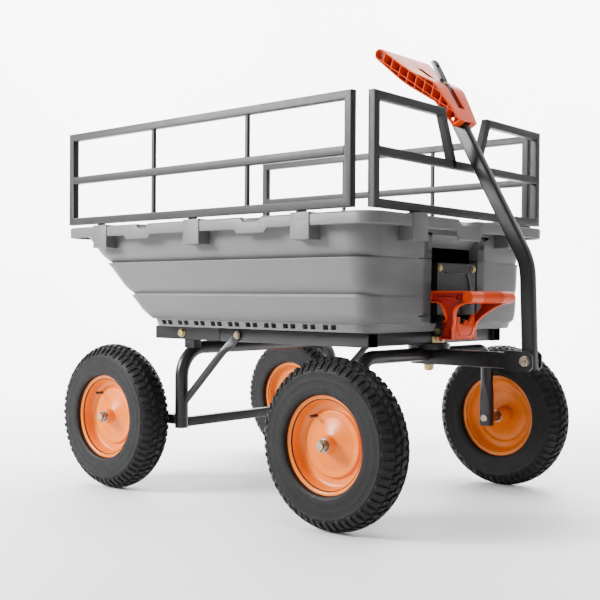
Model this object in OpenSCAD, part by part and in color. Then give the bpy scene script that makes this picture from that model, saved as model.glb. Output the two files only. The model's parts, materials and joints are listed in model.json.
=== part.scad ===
// Garden dump cart: a poly tub with fence panels on a four-wheel steel chassis.
// +X is the towing end, +Z is up, and the cart is symmetric about y = 0.
// Lengths are in millimetres. Stations along X are measured from the point
// midway between the axles, and shift_x moves that point so that the origin
// lies under the middle of the whole cart, on the ground.

/* [Wheels] */
// Outer diameter of the tyre
tyre_d = 400; // [380:1:410]
// Width of the tyre
tyre_w = 92; // [80:1:96]
// Diameter of the rim over its flanges
rim_d = 229; // [222:1:232]
// Distance between the front and the rear wheel centres
wheelbase = 794; // [780:1:820]
// Distance between the left and the right wheel centres
track = 764; // [760:1:780]

/* [Tub] */
// Overall width of the tub over its rim
tub_w = 810; // [806:1:814]
// Height of the rim above the ground
rim_z = 729; // [726:1:731]
// Depth of the rim's turned-down lip
lip_h = 29; // [20:1:34]
// Wall thickness of the tub
tub_t = 5; // [3:0.5:6]
// Furthest station of the rim behind the middle of the wheelbase
tub_back = 586; // [580:1:592]
// Furthest station of the rim ahead of the middle of the wheelbase
tub_front = 518; // [514:1:520]

/* [Fence] */
// Side of the square fence tube
fence_t = 20; // [18:1:20]
// Side of the thin uprights
upright_t = 10; // [8:1:12]
// Height of a fence panel
fence_h = 260; // [255:1:262]
// Length of a side panel
side_l = 1036; // [1030:1:1038]
// Width of the front panel
front_w = 764; // [756:1:768]
// Half the notch's width at the middle rail
notch_low = 49; // [46:1:60]
// Half the notch's width at the top rail
notch_high = 99; // [96:1:112]

/* [Frame] */
// Width of a chassis rail
rail_w = 39; // [38:1:42]
// Height of a chassis rail
rail_h = 34.5; // [34:0.5:35]
// Distance from the middle of the cart to the outer face of a rail
rail_y = 302; // [300:1:302]
// Diameter of the front axle tube
front_tube_d = 34; // [32:1:34]
// Diameter of the rear axle tube
rear_tube_d = 36; // [32:1:36]
// Diameter of the wheel spindles
spindle_d = 20; // [18:1:20]

/* [Tow pole] */
// Depth of the pole, fore and aft
pole_d = 34; // [32:1:34]
// Width of the pole, side to side
pole_w = 26; // [24:1:26]
// Backward lean of the lower part of the pole, in degrees
pole_lean = 2.2; // [1:0.1:2.4]
// Backward lean of the upper part of the pole, in degrees
pole_slant = 28.9; // [28.5:0.1:29]

/* [Handles] */
// Width of the tow grip across its hand bar
grip_w = 210; // [190:1:212]
// Width of the dump latch handle
latch_w = 206; // [190:1:206]

/* [Hidden] */
$fn = 48;

clear = 0.3;
run_fit = 0.06;
tyre_r = tyre_d / 2;
rim_r = rim_d / 2;
axle_x = wheelbase / 2;
wheel_y = track / 2;
clevis_front = 707;
shift_x = (axle_x + tyre_r - clevis_front) / 2;

// Paint and plastic colours
black_paint = [0.10, 0.10, 0.11];
fence_paint = [0.33, 0.33, 0.34];
tub_grey = [0.45, 0.45, 0.46];
rim_orange = [1.00, 0.47, 0.06];
grip_orange = [0.92, 0.30, 0.10];
rubber = [0.07, 0.07, 0.07];
zinc = [0.75, 0.72, 0.62];

module place() {
    translate([shift_x, 0, 0]) children();
}

// The cart's left half is made as the mirror image of its right half.
module both_sides() {
    children();
    mirror([0, 1, 0]) children();
}

// A cylinder along Y between two planes
module rod_y(x, z, r, y0, y1) {
    translate([x, y1, z]) rotate([90, 0, 0]) cylinder(r = r, h = y1 - y0);
}

// A hexagonal nut or bolt head along Y
module hex_y(x, z, across, y0, y1) {
    translate([x, y1, z]) rotate([90, 0, 0])
        cylinder(r = across / sqrt(3), h = y1 - y0, $fn = 6);
}

module block(x0, x1, y0, y1, z0, z1) {
    translate([x0, y0, z0]) cube([x1 - x0, y1 - y0, z1 - z0]);
}

/* ---- Tub ---- */

// Levels of the outside of the tub: height, back, front, half width, corner radius
rim_y = tub_w / 2;
lip_z = rim_z - lip_h;
tub_levels = [
    [462, -228, 440, 330, 40],
    [476, -246, 452, 345, 50],
    [532, -326, 461, 355, 60],
    [544, -340, 467, 361, 62],
    [622, -438, 469, 364, 66],
    [634, -452, 473, 369, 68],
    [lip_z + 2, -519, 475, 371, 70]
];
mouth_low = [lip_z, -519, 475, 371, 70];
mouth_high = [rim_z, -526, 478, 374, 70];
base_z = 452;
recess_x = 449;
recess_y = 105;
recess_top = 684;
pocket_l = 60;
side_pockets = [-438, -62, 309];
front_pockets = [-218, 218];
pocket_low = 668;
pocket_in = 366;
side_notches = [-259, 147];
notch_l = 58;
tab_w = 30;
tab_t = 5;
tab_y = rim_y - 5;
tab_low = 672;
fence_x = 508;
front_tab_x = fence_x - fence_t / 2;

module level_slab(level, inset) {
    thin = 0.5;
    r = max(level[4] - inset, 8);
    for (x = [level[1] + inset + r, level[2] - inset - r])
        for (y = [-level[3] + inset + r, level[3] - inset - r])
            translate([x, y, level[0]]) cylinder(r = r, h = thin, $fn = 32);
}

module tub_body(inset) {
    for (i = [0 : len(tub_levels) - 2])
        hull() {
            level_slab(tub_levels[i], inset);
            level_slab(tub_levels[i + 1], inset);
        }
}

module rim_outline(inset) {
    r = 50;
    hull()
        for (x = [-tub_back + inset + r, tub_front - inset - r])
            for (y = [-rim_y + inset + r, rim_y - inset - r])
                translate([x, y]) circle(r = r, $fn = 32);
}

// A hollow collar under the rim that takes a fence tab
module side_pocket(x) {
    block(x - pocket_l / 2, x + pocket_l / 2, -rim_y - 3, -pocket_in, pocket_low, rim_z + 3);
}

module side_slot(x) {
    gap = tab_t / 2 + 1;
    block(x - tab_w / 2 - 2, x + tab_w / 2 + 2, -tab_y - gap, -tab_y + gap,
          pocket_low - 1, rim_z + 4);
}

module front_pocket(y) {
    block(472, tub_front + 3, y - pocket_l / 2, y + pocket_l / 2, pocket_low, rim_z + 3);
}

module front_slot(y) {
    gap = tab_t / 2 + 1;
    block(front_tab_x - gap, front_tab_x + gap, y - tab_w / 2 - 2, y + tab_w / 2 + 2,
          pocket_low - 1, rim_z + 4);
}

module tub_shape() {
    difference() {
        tub_with_pockets();
        for (x = side_pockets) both_sides() side_slot(x);
        for (y = front_pockets) front_slot(y);
    }
}

module tub_with_pockets() {
    union() {
        difference() {
            union() {
                tub_body(0);
                // ribbed base that stands on the bed
                block(-222, 430, -320, 320, base_z, 463);
            }
            block(recess_x, 600, -recess_y, recess_y, 440, recess_top);
            difference() {
                translate([0, 0, tub_t]) tub_body(tub_t);
                block(recess_x - tub_t, 600, -recess_y - tub_t, recess_y + tub_t,
                      440, recess_top + tub_t);
            }
            // slots between the base ribs, open to the sides
            for (x = [-190 : 48 : 400])
                both_sides() block(x, x + 30, -330, -250, base_z - 1, 460);
        }
        // rim with its turned-down lip
        difference() {
            translate([0, 0, lip_z]) linear_extrude(height = lip_h) rim_outline(0);
            translate([0, 0, lip_z - 1]) linear_extrude(height = lip_h - tub_t + 1)
                rim_outline(tub_t);
            mouth(tub_t, 1);
            // rope notches in the rim
            for (x = side_notches)
                both_sides() block(x - notch_l / 2, x + notch_l / 2, -500, -388,
                                   rim_z - 12, rim_z + 1);
            block(486, 600, -58, 58, rim_z - 12, rim_z + 1);
        }
        // webs under the notches, where the lip dips
        for (x = side_notches)
            both_sides() block(x - 50, x + 50, -rim_y, -rim_y + tub_t, lip_z - 11, rim_z - 12);
        block(tub_front - tub_t, tub_front, -75, 75, lip_z - 22, rim_z - 12);
        // wall between the lip and the body
        difference() {
            mouth(0, 0);
            mouth(tub_t, 1);
        }
        for (x = side_pockets) both_sides() side_pocket(x);
        for (y = front_pockets) front_pocket(y);
    }
}

// The top of the wall, between the turned-down lip and the inside
module mouth(inset, beyond) {
    hull() {
        translate([0, 0, -beyond]) level_slab(mouth_low, inset);
        translate([0, 0, beyond - 0.5]) level_slab(mouth_high, inset);
    }
}

module tub() {
    color(tub_grey) place() tub_shape();
}

/* ---- Fence panels ---- */

fence_z = 736;
fence_top = fence_z + fence_h;
mid_low = 853;
side_x0 = -572;
side_y = 412;
wall_t = 1.5;
uprights_x = [-212, 135];

// Outside or inside of a side panel's tubes; grow is negative for the bore
module side_frame(g) {
    t = fence_t;
    x1 = side_x0 + side_l;
    for (x = [side_x0, x1 - t])
        block(x - g, x + t + g, -side_y - g, -side_y + t + g,
              g < 0 ? fence_z - 1 : fence_z, fence_top + g);
    for (z = [fence_z, mid_low, fence_top - t])
        block(side_x0 - g, x1 + g, -side_y - g, -side_y + t + g, z - g, z + t + g);
}

module side_panel() {
    inset = (fence_t - upright_t) / 2;
    union() {
        difference() {
            side_frame(0);
            side_frame(-wall_t);
        }
        for (x = uprights_x)
            for (span = [[fence_z + fence_t, mid_low], [mid_low + fence_t, fence_top - fence_t]])
                block(x - upright_t / 2, x + upright_t / 2, -side_y + inset,
                      -side_y + inset + upright_t, span[0], span[1]);
        for (x = side_pockets)
            block(x - tab_w / 2, x + tab_w / 2, -tab_y - tab_t / 2, -tab_y + tab_t / 2,
                  tab_low, fence_z + 0.5);
    }
}

// Outline of one half of the front panel, in Y and Z, on the right of the notch
notch_tan = (notch_high - notch_low) / (fence_top - mid_low - fence_t);
function notch_edge(z) = notch_low + (z - mid_low - fence_t) * notch_tan;

module front_half(g) {
    t = fence_t;
    half = front_w / 2;
    low = mid_low + t;
    across = t / cos(atan(notch_tan));
    // outer post
    translate([-half - g, g < 0 ? fence_z - 1 : fence_z])
        square([t + 2 * g, g < 0 ? fence_h + 1 + g : fence_h]);
    // top rail
    translate([-half - g, fence_top - t - g])
        square([half - notch_edge(fence_top - t) - across / 2 + 2 * g, t + 2 * g]);
    // slanting tube beside the notch
    polygon([
        [-notch_edge(low) + g, low + (g < 0 ? -t / 2 : 0)],
        [-notch_edge(fence_top) + g, fence_top + g],
        [-notch_edge(fence_top) - across - g, fence_top + g],
        [-notch_edge(low) - across - g, low + (g < 0 ? -t / 2 : 0)]
    ]);
    for (z = [fence_z, mid_low])
        translate([-half - g, z - g]) square([half + g, t + 2 * g]);
}

module front_layer(g, thick) {
    for (side = [0, 1])
        mirror([0, side, 0])
            rotate([90, 0, 90]) linear_extrude(height = thick, center = true) front_half(g);
}

module front_panel() {
    translate([fence_x - fence_t / 2, 0, 0]) {
        difference() {
            front_layer(0, fence_t);
            front_layer(-wall_t, fence_t - 2 * wall_t);
        }
        for (y = front_pockets)
            block(-tab_t / 2, tab_t / 2, y - tab_w / 2, y + tab_w / 2, tab_low, fence_z + 0.5);
    }
}

module fence_left() {
    color(fence_paint) place() mirror([0, 1, 0]) side_panel();
}

module fence_right() {
    color(fence_paint) place() side_panel();
}

module fence_front() {
    color(fence_paint) place() front_panel();
}

/* ---- Dump bed: what joins the tub to its pivot ---- */

pivot_x = -209;
pivot_z = 434.5;
pivot_r = 6;
chan_x0 = -319;
chan_x1 = -62;
chan_t = 2.5;
rail_top = base_z - 0.5;
rail_low = rail_top - rail_h;
rail_in = rail_y - rail_w;

module channel() {
    difference() {
        block(chan_x0, chan_x1, -rail_y, -rail_in, rail_low, rail_top + 0.5);
        block(chan_x0 - 1, chan_x1 + 1, -rail_y + chan_t, -rail_in - chan_t,
              rail_low - 1, rail_top + 0.5 - chan_t);
        rod_y(pivot_x, pivot_z, pivot_r + run_fit, -rail_y - 1, -rail_in + 1);
    }
}

module channel_left() {
    color(black_paint) place() mirror([0, 1, 0]) channel();
}

module channel_right() {
    color(black_paint) place() channel();
}

strap_x = [-306, -106];

module bed_straps() {
    color(black_paint) place()
        for (x = strap_x)
            difference() {
                block(x, x + 34, -rail_in, rail_in, base_z - 4, base_z);
                for (y = [-180, 180])
                    translate([x + 17, y, base_z - 5]) cylinder(r = 4, h = 6);
            }
}

// Bolts up through the straps; the rear pair takes the tub's upturned heel
module bed_bolts() {
    color(zinc) place()
        for (y = [-180, 180])
            translate([strap_x[1] + 17, y, 0]) {
                translate([0, 0, base_z - 4]) cylinder(r = 4, h = 8);
                translate([0, 0, base_z - 9.5]) cylinder(r = 7.5, h = 5.5, $fn = 6);
            }
}

/* ---- Dump latch on the tub's front wall ---- */

plate_x = 480;
plate_y = 87;
plate_low = 492;
plate_top = 621;
latch_x = 470;
latch_z = 452;
latch_pin_r = 5;
ear_y = 64;

module latch_bracket() {
    t = 3;
    color(black_paint) place() difference() {
        union() {
            block(plate_x - t, plate_x, -plate_y, plate_y, plate_low, plate_top);
            both_sides() {
                block(recess_x, plate_x, -plate_y, -plate_y + t, plate_low, plate_top);
                block(recess_x, plate_x + 1, -ear_y - t, -ear_y, latch_z - 14, plate_low + 8);
            }
            block(recess_x, plate_x, -plate_y, plate_y, plate_top - t, plate_top);
        }
        rod_y(latch_x, latch_z, latch_pin_r, -100, 100);
        for (y = [-77, 77])
            translate([plate_x - 10, y, 609]) rotate([0, 90, 0]) cylinder(r = 3, h = 20);
    }
}

module latch_bolts() {
    color(zinc) place()
        for (y = [-77, 77])
            translate([0, y, 609]) rotate([0, 90, 0]) {
                translate([0, 0, recess_x - 4]) cylinder(r = 3, h = plate_x - recess_x + 4);
                translate([0, 0, plate_x]) cylinder(r = 7, h = 5, $fn = 6);
            }
}

module latch_pin() {
    color(zinc) place() {
        rod_y(latch_x, latch_z, latch_pin_r, -ear_y - 5, ear_y + 5);
        both_sides() rod_y(latch_x, latch_z, latch_pin_r + 2.5, -ear_y - 7, -ear_y - 3);
    }
}

// Return spring coiled round the pin
module latch_spring() {
    color(zinc) place() difference() {
        rod_y(latch_x, latch_z, 8, 24, 46);
        rod_y(latch_x, latch_z, 5.6, 23, 47);
    }
}

bar_x = 576;
bar_z = 537;
bar_r = 15;
web_t = 12;
foot_y = 58;

module latch_handle() {
    half = latch_w / 2;
    color(grip_orange) place() difference() {
        union() {
            rod_y(bar_x, bar_z, bar_r, -half, half);
            both_sides() {
                hull() {
                    block(466, bar_x, -half, -half + web_t, bar_z - bar_r, bar_z + bar_r);
                    rod_y(bar_x, bar_z, bar_r, -half, -half + web_t);
                }
                hull() {
                    block(498, 548, -half, -half + web_t, bar_z - 22, bar_z - bar_r + 2);
                    block(486, 504, -foot_y, -foot_y + web_t, 462, 470);
                }
            }
            block(464, 504, -foot_y, foot_y, 431, 474);
        }
        rod_y(latch_x, latch_z, latch_pin_r + run_fit, -100, 100);
        // room for the return spring and the hook plate
        rod_y(latch_x, latch_z, 9, 22, 48);
        block(460, 480, 22, 48, 425, latch_z);
        block(460, 476, -4.5, 4.5, 425, 480);
    }
}

// Steel hook that the handle swings clear of the striker
module latch_hook() {
    color(black_paint) place() difference() {
        union() {
            block(462, 476, -4, 4, 434, 474);
            block(432, 463, -4, 4, 434, 442);
            block(432, 437, -4, 4, 424, 435);
        }
        rod_y(latch_x, latch_z, latch_pin_r + run_fit, -10, 10);
    }
}

/* ---- Chassis ---- */

rail_front = 432;
rail_back = -60;
nose_h = 29;
nose_w = 32;
brace_x = 8;
brace_bolt_r = 5;
king_x = 398;
king_r = 8;
beam_low = rail_low + 1;
rail_mid = rail_y - rail_w / 2;

module rail() {
    difference() {
        union() {
            difference() {
                block(rail_back, rail_front, -rail_y, -rail_in, rail_low, rail_top);
                block(rail_back + 40, rail_front + 1, -rail_y + 2, -rail_in - 2,
                      rail_low + 2, rail_top - 2);
            }
            // narrower nose that reaches back inside the channel to the pivot
            block(pivot_x, rail_back, -rail_mid - nose_w / 2, -rail_mid + nose_w / 2,
                  pivot_z - nose_h / 2, pivot_z + nose_h / 2);
            rod_y(pivot_x, pivot_z, nose_h / 2, -rail_mid - nose_w / 2,
                  -rail_mid + nose_w / 2);
        }
        rod_y(pivot_x, pivot_z, pivot_r, -rail_y - 1, -rail_in + 1);
        rod_y(brace_x, pivot_z, brace_bolt_r, -rail_y - 1, -rail_in + 1);
    }
}

module rail_left() {
    color(black_paint) place() mirror([0, 1, 0]) rail();
}

module rail_right() {
    color(black_paint) place() rail();
}

module crossmember(x0, x1) {
    difference() {
        block(x0, x1, -rail_in, rail_in, beam_low, rail_top);
        block(x0 + 2, x1 - 2, -rail_in - 1, rail_in + 1, beam_low + 2, rail_top - 2);
    }
}

beam_x0 = 374;
beam_x1 = 424;

module front_crossmember() {
    color(black_paint) place() difference() {
        crossmember(beam_x0, beam_x1);
        translate([king_x, 0, beam_low - 1]) cylinder(r = king_r, h = rail_h + 2);
        translate([king_x, 0, rail_top - 0.5]) cylinder(r = 11, h = 2);
    }
}

module centre_crossmember() {
    color(black_paint) place() crossmember(40, 90);
}

module striker_plate() {
    color(zinc) place() block(beam_x1, beam_x1 + 3, -28, 28, beam_low + 2, rail_top - 2);
}

turn_r = 54;
turn_t = 4.2;
turn_top = beam_low - clear;

module turntable_upper() {
    color(black_paint) place() translate([king_x, 0, beam_low - turn_t]) difference() {
        cylinder(r = turn_r, h = turn_t);
        translate([0, 0, -1]) cylinder(r = king_r, h = turn_t + 2);
    }
}

lower_top = beam_low - turn_t - clear;
tongue_top = 404;
tongue_low = 365;
tongue_w = 40;
front_tube_z = 391;
tongue_x0 = 356;
tongue_x1 = 637;

module turntable_lower() {
    color(black_paint) place() difference() {
        translate([king_x, 0, tongue_top]) cylinder(r = turn_r, h = lower_top - tongue_top);
        translate([king_x, 0, tongue_top - 1]) cylinder(r = king_r + run_fit, h = 20);
        rod_y(king_x, front_tube_z, front_tube_d / 2, -80, 80);
    }
}

module kingpin() {
    color(zinc) place() translate([king_x, 0, 0]) {
        translate([0, 0, 348]) cylinder(r = king_r, h = rail_top - 348);
        translate([0, 0, rail_top - 0.5]) cylinder(r = 11, h = 0.5);
    }
}

module kingpin_nut() {
    color(zinc) place() translate([king_x, 0, 0]) difference() {
        union() {
            translate([0, 0, 351]) cylinder(r = 13.5, h = 11, $fn = 6);
            translate([0, 0, 362]) cylinder(r = 15, h = tongue_low - 0.5 - 362);
        }
        translate([0, 0, 350]) cylinder(r = king_r, h = 20);
    }
}

module pivot_bolts() {
    color(zinc) place() both_sides() {
        rod_y(pivot_x, pivot_z, pivot_r, -rail_y - 3, -rail_in + 12);
        hex_y(pivot_x, pivot_z, 19, -rail_y - 8, -rail_y - clear);
        hex_y(pivot_x, pivot_z, 19, -rail_in + clear, -rail_in + 10);
    }
}

/* ---- Rear axle ---- */

rear_x = -axle_x;
hoop_x = -192;
hoop_z = 394;
hoop_y = 318;
hoop_low = 178;
hoop_bend = 78;
beam_z = 193;
arm_h = 26;
axle_z = tyre_r;
wheel_in = wheel_y - 36.5;

// Half of a tube bent into a hoop: a leg, a bend and half of the top
module hoop_half(d, y, top, low, bend, extra) {
    translate([0, -y, low]) cylinder(d = d, h = top - bend - low);
    translate([0, -y + bend, top - bend]) rotate([90, 0, 90]) rotate([0, 0, 90])
        rotate_extrude(angle = 90) translate([bend, 0]) circle(d = d);
    translate([0, 0, top]) rotate([90, 0, 0]) translate([0, 0, -extra])
        cylinder(d = d, h = y - bend + extra);
}

module hoop(x, d, y, top, low, bend) {
    translate([x, 0, 0]) both_sides() hoop_half(d, y, top, low, bend, 0);
}

module rear_axle_tube() {
    color(black_paint) place() {
        difference() {
            hoop(hoop_x, rear_tube_d, hoop_y, hoop_z, hoop_low, hoop_bend);
            hoop(hoop_x, rear_tube_d - 6, hoop_y, hoop_z, hoop_low - 1, hoop_bend);
        }
        // saddles that carry the noses of the rails
        both_sides() difference() {
            block(hoop_x - 14, hoop_x + 24, -rail_mid - 14, -rail_mid + 14,
                  hoop_z, pivot_z - nose_h / 2);
            rod_y(hoop_x, hoop_z, rear_tube_d / 2, -300, -200);
        }
    }
}

module rear_axle_beam() {
    inner = hoop_y - rear_tube_d / 2;
    color(black_paint) place() difference() {
        block(hoop_x - 10, hoop_x + 10, -hoop_y, hoop_y, beam_z - 13, beam_z + 13);
        block(hoop_x - 8, hoop_x + 8, -inner - 40, inner + 40, beam_z - 11, beam_z + 11);
        both_sides() translate([hoop_x, -hoop_y, 100]) cylinder(d = rear_tube_d, h = 200);
    }
}

module rear_arms() {
    color(black_paint) place() both_sides() difference() {
        block(rear_x - 20, hoop_x, -hoop_y - 13, -hoop_y + 13, axle_z - 13, axle_z + 13);
        translate([hoop_x, -hoop_y, 100]) cylinder(d = rear_tube_d, h = 200);
        rod_y(rear_x, axle_z, spindle_d / 2, -400, -200);
    }
}

spindle_end = wheel_y + 52;
cotter_r = 1.6;

module spindle(x, inner, collar_in) {
    difference() {
        rod_y(x, axle_z, spindle_d / 2, -spindle_end, -inner);
        // hole for the cotter pin
        translate([x, -wheel_y - 49.5, axle_z - 15]) cylinder(r = cotter_r, h = 30);
    }
    rod_y(x, axle_z, 15, -wheel_in, -collar_in);
    hex_y(x, axle_z, 26, -inner, -inner + 9);
}

module rear_spindles() {
    color(zinc) place() both_sides() spindle(rear_x, hoop_y - 13, hoop_y + 13);
}

// A brace: a round tube with flattened ends, from the leg up to the rail
brace_low = [-186, -hoop_y - 1, 248];
brace_high = [-16, -hoop_y + 1, 412];

module rear_braces() {
    dx = brace_high[0] - brace_low[0];
    dz = brace_high[2] - brace_low[2];
    run = norm([dx, dz]);
    lean = atan2(dx, dz);
    color(black_paint) place() both_sides() difference() {
        union() {
            translate([brace_low[0], -rail_y - 10.5, brace_low[2]]) rotate([0, lean, 0])
                cylinder(r = 10, h = run);
            translate([brace_high[0], -rail_y - 5, brace_high[2]]) rotate([0, lean, 0])
                translate([-11, 0, -8]) cube([22, 5, 40]);
            rod_y(brace_x, pivot_z, 12, -rail_y - 5, -rail_y);
            translate([brace_low[0], -rail_y - 16, brace_low[2]]) rotate([0, lean, 0])
                translate([-12, 0, -26]) cube([24, 10, 34]);
        }
        rod_y(brace_x, pivot_z, brace_bolt_r, -rail_y - 10, -rail_y + 1);
        translate([hoop_x, -hoop_y, 100]) cylinder(d = rear_tube_d, h = 300);
    }
}

module brace_bolts() {
    color(zinc) place() both_sides() {
        rod_y(brace_x, pivot_z, brace_bolt_r, -rail_y - 6, -rail_in + 10);
        hex_y(brace_x, pivot_z, 16, -rail_y - 11, -rail_y - 5);
        hex_y(brace_x, pivot_z, 16, -rail_in, -rail_in + 8);
    }
}

// Washer, castle nut and cotter pin on the end of a spindle
module axle_nut(x) {
    difference() {
        union() {
            rod_y(x, axle_z, 15, -wheel_y - 39, -wheel_y - 36.5);
            hex_y(x, axle_z, 27, -wheel_y - 47, -wheel_y - 39);
        }
        rod_y(x, axle_z, spindle_d / 2, -wheel_y - 90, -wheel_y);
    }
    translate([x, -wheel_y - 49.5, axle_z - 15]) cylinder(r = cotter_r, h = 30);
}

module rear_axle_nuts() {
    color(zinc) place() both_sides() axle_nut(rear_x);
}

/* ---- Front axle and tongue ---- */

fork_y = 290;
fork_low = 178;
fork_bend = 96;
fork_flat = 290;

module front_axle_tube() {
    color(black_paint) place() difference() {
        union() {
            difference() {
                hoop(king_x, front_tube_d, fork_y, front_tube_z, fork_flat - 4, fork_bend);
                hoop(king_x, front_tube_d - 6, fork_y, front_tube_z, fork_flat - 5, fork_bend);
            }
            // flattened feet that carry the spindles
            both_sides() block(king_x - 17, king_x + 17, -fork_y - 12.5, -fork_y + 12.5,
                               fork_low, fork_flat);
        }
        rod_y(axle_x, axle_z, spindle_d / 2, -400, 400);
        translate([king_x, 0, 300]) cylinder(r = king_r + run_fit, h = 200);
    }
}

module front_spindles() {
    color(zinc) place() both_sides() spindle(axle_x, fork_y - 12.5, fork_y + 12.5);
}

module front_axle_nuts() {
    color(zinc) place() both_sides() axle_nut(axle_x);
}

module tongue() {
    half = tongue_w / 2;
    color(black_paint) place() difference() {
        block(tongue_x0, tongue_x1, -half, half, tongue_low, tongue_top);
        block(tongue_x0 + 80, tongue_x1 + 1, -half + 3, half - 3, tongue_low + 3,
              tongue_top - 3);
        rod_y(king_x, front_tube_z, front_tube_d / 2, -half - 1, half + 1);
        translate([king_x, 0, 300]) cylinder(r = king_r + run_fit, h = 200);
    }
}

foot_x = 688;
foot_z = 386;
foot_r = 7;

module clevis_plate() {
    cut = 12;
    translate([0, -tongue_w / 2, 0]) rotate([90, 0, 0]) linear_extrude(height = 5)
        polygon([
            [tongue_x1 - 70, tongue_low + 3], [tongue_x1 - 5, tongue_low + 3],
            [tongue_x1 - 5, 361], [clevis_front - cut, 361], [clevis_front, 361 + cut],
            [clevis_front, 410 - cut], [clevis_front - cut, 410],
            [tongue_x1 - 5, 410], [tongue_x1 - 5, tongue_top - 3],
            [tongue_x1 - 70, tongue_top - 3]
        ]);
}

module clevis_plates() {
    color(black_paint) place() difference() {
        both_sides() clevis_plate();
        rod_y(foot_x, foot_z, foot_r + run_fit, -60, 60);
    }
}

module pole_bolt() {
    y = tongue_w / 2 + 5;
    color(zinc) place() {
        rod_y(foot_x, foot_z, foot_r, -y - 12, y + 12);
        both_sides() {
            rod_y(foot_x, foot_z, 13, -y - 2, -y - clear);
            hex_y(foot_x, foot_z, 22, -y - 10, -y - 2);
        }
    }
}

module pole_spacers() {
    color(zinc) place() both_sides() difference() {
        rod_y(foot_x, foot_z, 13, -tongue_w / 2 + clear, -pole_w / 2 - clear);
        rod_y(foot_x, foot_z, foot_r, -tongue_w, 0);
    }
}

/* ---- Tow pole ---- */

bend_z = 621;
lower_l = (bend_z - foot_z) / cos(pole_lean);
bend_x = foot_x - lower_l * sin(pole_lean);
bend_r = 150;
bend_cut = bend_r * tan((pole_slant - pole_lean) / 2);
upper_l = 523;
pole_end = [bend_x - upper_l * sin(pole_slant), bend_z + upper_l * cos(pole_slant)];

// A point on the pole: s along it from the pivot, and v out towards the front
function lean_dir(a) = [-sin(a), cos(a)];
function lean_side(a) = [cos(a), sin(a)];
function arc_point(a, v) = let (
        c = [foot_x, foot_z] + (lower_l - bend_cut) * lean_dir(pole_lean)
            - bend_r * lean_side(pole_lean))
    c + (bend_r + v) * lean_side(a);
function pole_edge(v, s0, s1) = concat(
    [[foot_x, foot_z] + s0 * lean_dir(pole_lean) + v * lean_side(pole_lean)],
    [for (i = [0 : 12]) arc_point(pole_lean + (pole_slant - pole_lean) * i / 12, v)],
    [[bend_x, bend_z] + s1 * lean_dir(pole_slant) + v * lean_side(pole_slant)]);
function backwards(list) = [for (i = [len(list) - 1 : -1 : 0]) list[i]];

module pole_strip(half, s0, s1, wide) {
    rotate([90, 0, 0]) linear_extrude(height = wide, center = true)
        polygon(concat(pole_edge(half, s0, s1), backwards(pole_edge(-half, s0, s1))));
}

// Frame of the upper part: u runs up the pole, v out of its front face
module upper_frame() {
    translate([bend_x, 0, bend_z]) rotate([0, -pole_slant, 0]) children();
}

grip_u = 390;
grip_pin_u = grip_u + 16;
grip_pin_v = 6;
grip_pin_r = 4;

module pole() {
    color(black_paint) place() difference() {
        pole_strip(pole_d / 2, -20, upper_l, pole_w);
        pole_strip(pole_d / 2 - 2.5, -30, upper_l - 60, pole_w - 5);
        rod_y(foot_x, foot_z, foot_r + run_fit, -30, 30);
        upper_frame() rod_y(grip_pin_v, grip_pin_u, grip_pin_r, -30, 30);
    }
}

hitch_t = 8;
hitch_l = 64;
hitch_hole_r = 5;

// Flat tip with the hole for a tractor's hitch pin
module hitch_plate() {
    color(black_paint) place() upper_frame() difference() {
        translate([pole_d / 2 - hitch_t, 0, upper_l]) rotate([0, 90, 0])
            linear_extrude(height = hitch_t) union() {
                translate([-hitch_l + 6, -pole_w / 2]) square([hitch_l - 6, pole_w]);
                translate([-hitch_l, -pole_w / 2 + 6]) square([8, pole_w - 12]);
                for (y = [-1, 1])
                    translate([-hitch_l + 6, y * (pole_w / 2 - 6)]) circle(r = 6);
            }
        translate([0, 0, upper_l + hitch_l - 18]) rotate([0, 90, 0])
            cylinder(r = hitch_hole_r, h = 40);
    }
}

// Wire retainer round the pole that holds the grip shut
module hitch_clip() {
    u = upper_l - 12;
    out = pole_w / 2 + 0.4;
    color(zinc) place() upper_frame() difference() {
        translate([pole_d / 2 - 4, -pole_w / 2, u]) cube([6, pole_w, 4]);
        translate([pole_d / 2 - 5, -out - 10, u - 1]) cube([5, 2 * out + 20, 6]);
    }
}

module grip_pin() {
    color(zinc) place() upper_frame()
        rod_y(grip_pin_v, grip_pin_u, grip_pin_r, -37, 37);
}

/* ---- Tow grip ---- */

grip_bar_u = grip_u + 252;
grip_bar_v = -65;
grip_bar_r = 15;
grip_low_w = 80;
grip_wall = 4;

// Side outline of the grip, v against u
module grip_side(g) {
    polygon([
        [-2 - g, grip_u - g], [25 + g, grip_u - g], [20 + g, grip_u + 112],
        [-14 + g, grip_u + 166], [grip_bar_v + 13 + g, grip_bar_u + 8],
        [grip_bar_v - 14 - g, grip_bar_u - 6], [-55 - g, grip_u + 170],
        [-30 - g, grip_u + 117], [-8 - g, grip_u + 75]
    ]);
    translate([grip_bar_v, grip_bar_u]) circle(r = grip_bar_r + g);
}

function grip_half(u) = grip_low_w / 2
    + (grip_w - grip_low_w) / 2 * (u - grip_u) / (grip_bar_u - grip_u);

// Plan outline of the grip, half width against u
module grip_plan(g) {
    u0 = grip_u - 10;
    u1 = grip_bar_u + 24;
    polygon([
        [-grip_half(u0) - g, u0], [grip_half(u0) + g, u0],
        [grip_half(grip_bar_u) + g, grip_bar_u], [grip_half(grip_bar_u) + g, u1],
        [-grip_half(grip_bar_u) - g, u1], [-grip_half(grip_bar_u) - g, grip_bar_u]
    ]);
}

module grip_solid(g, cut) {
    intersection() {
        rotate([90, 0, 0]) linear_extrude(height = 300, center = true) grip_side(g);
        translate([-150, 0, 0]) rotate([90, 0, 90]) linear_extrude(height = 300)
            grip_plan(cut);
    }
}

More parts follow.
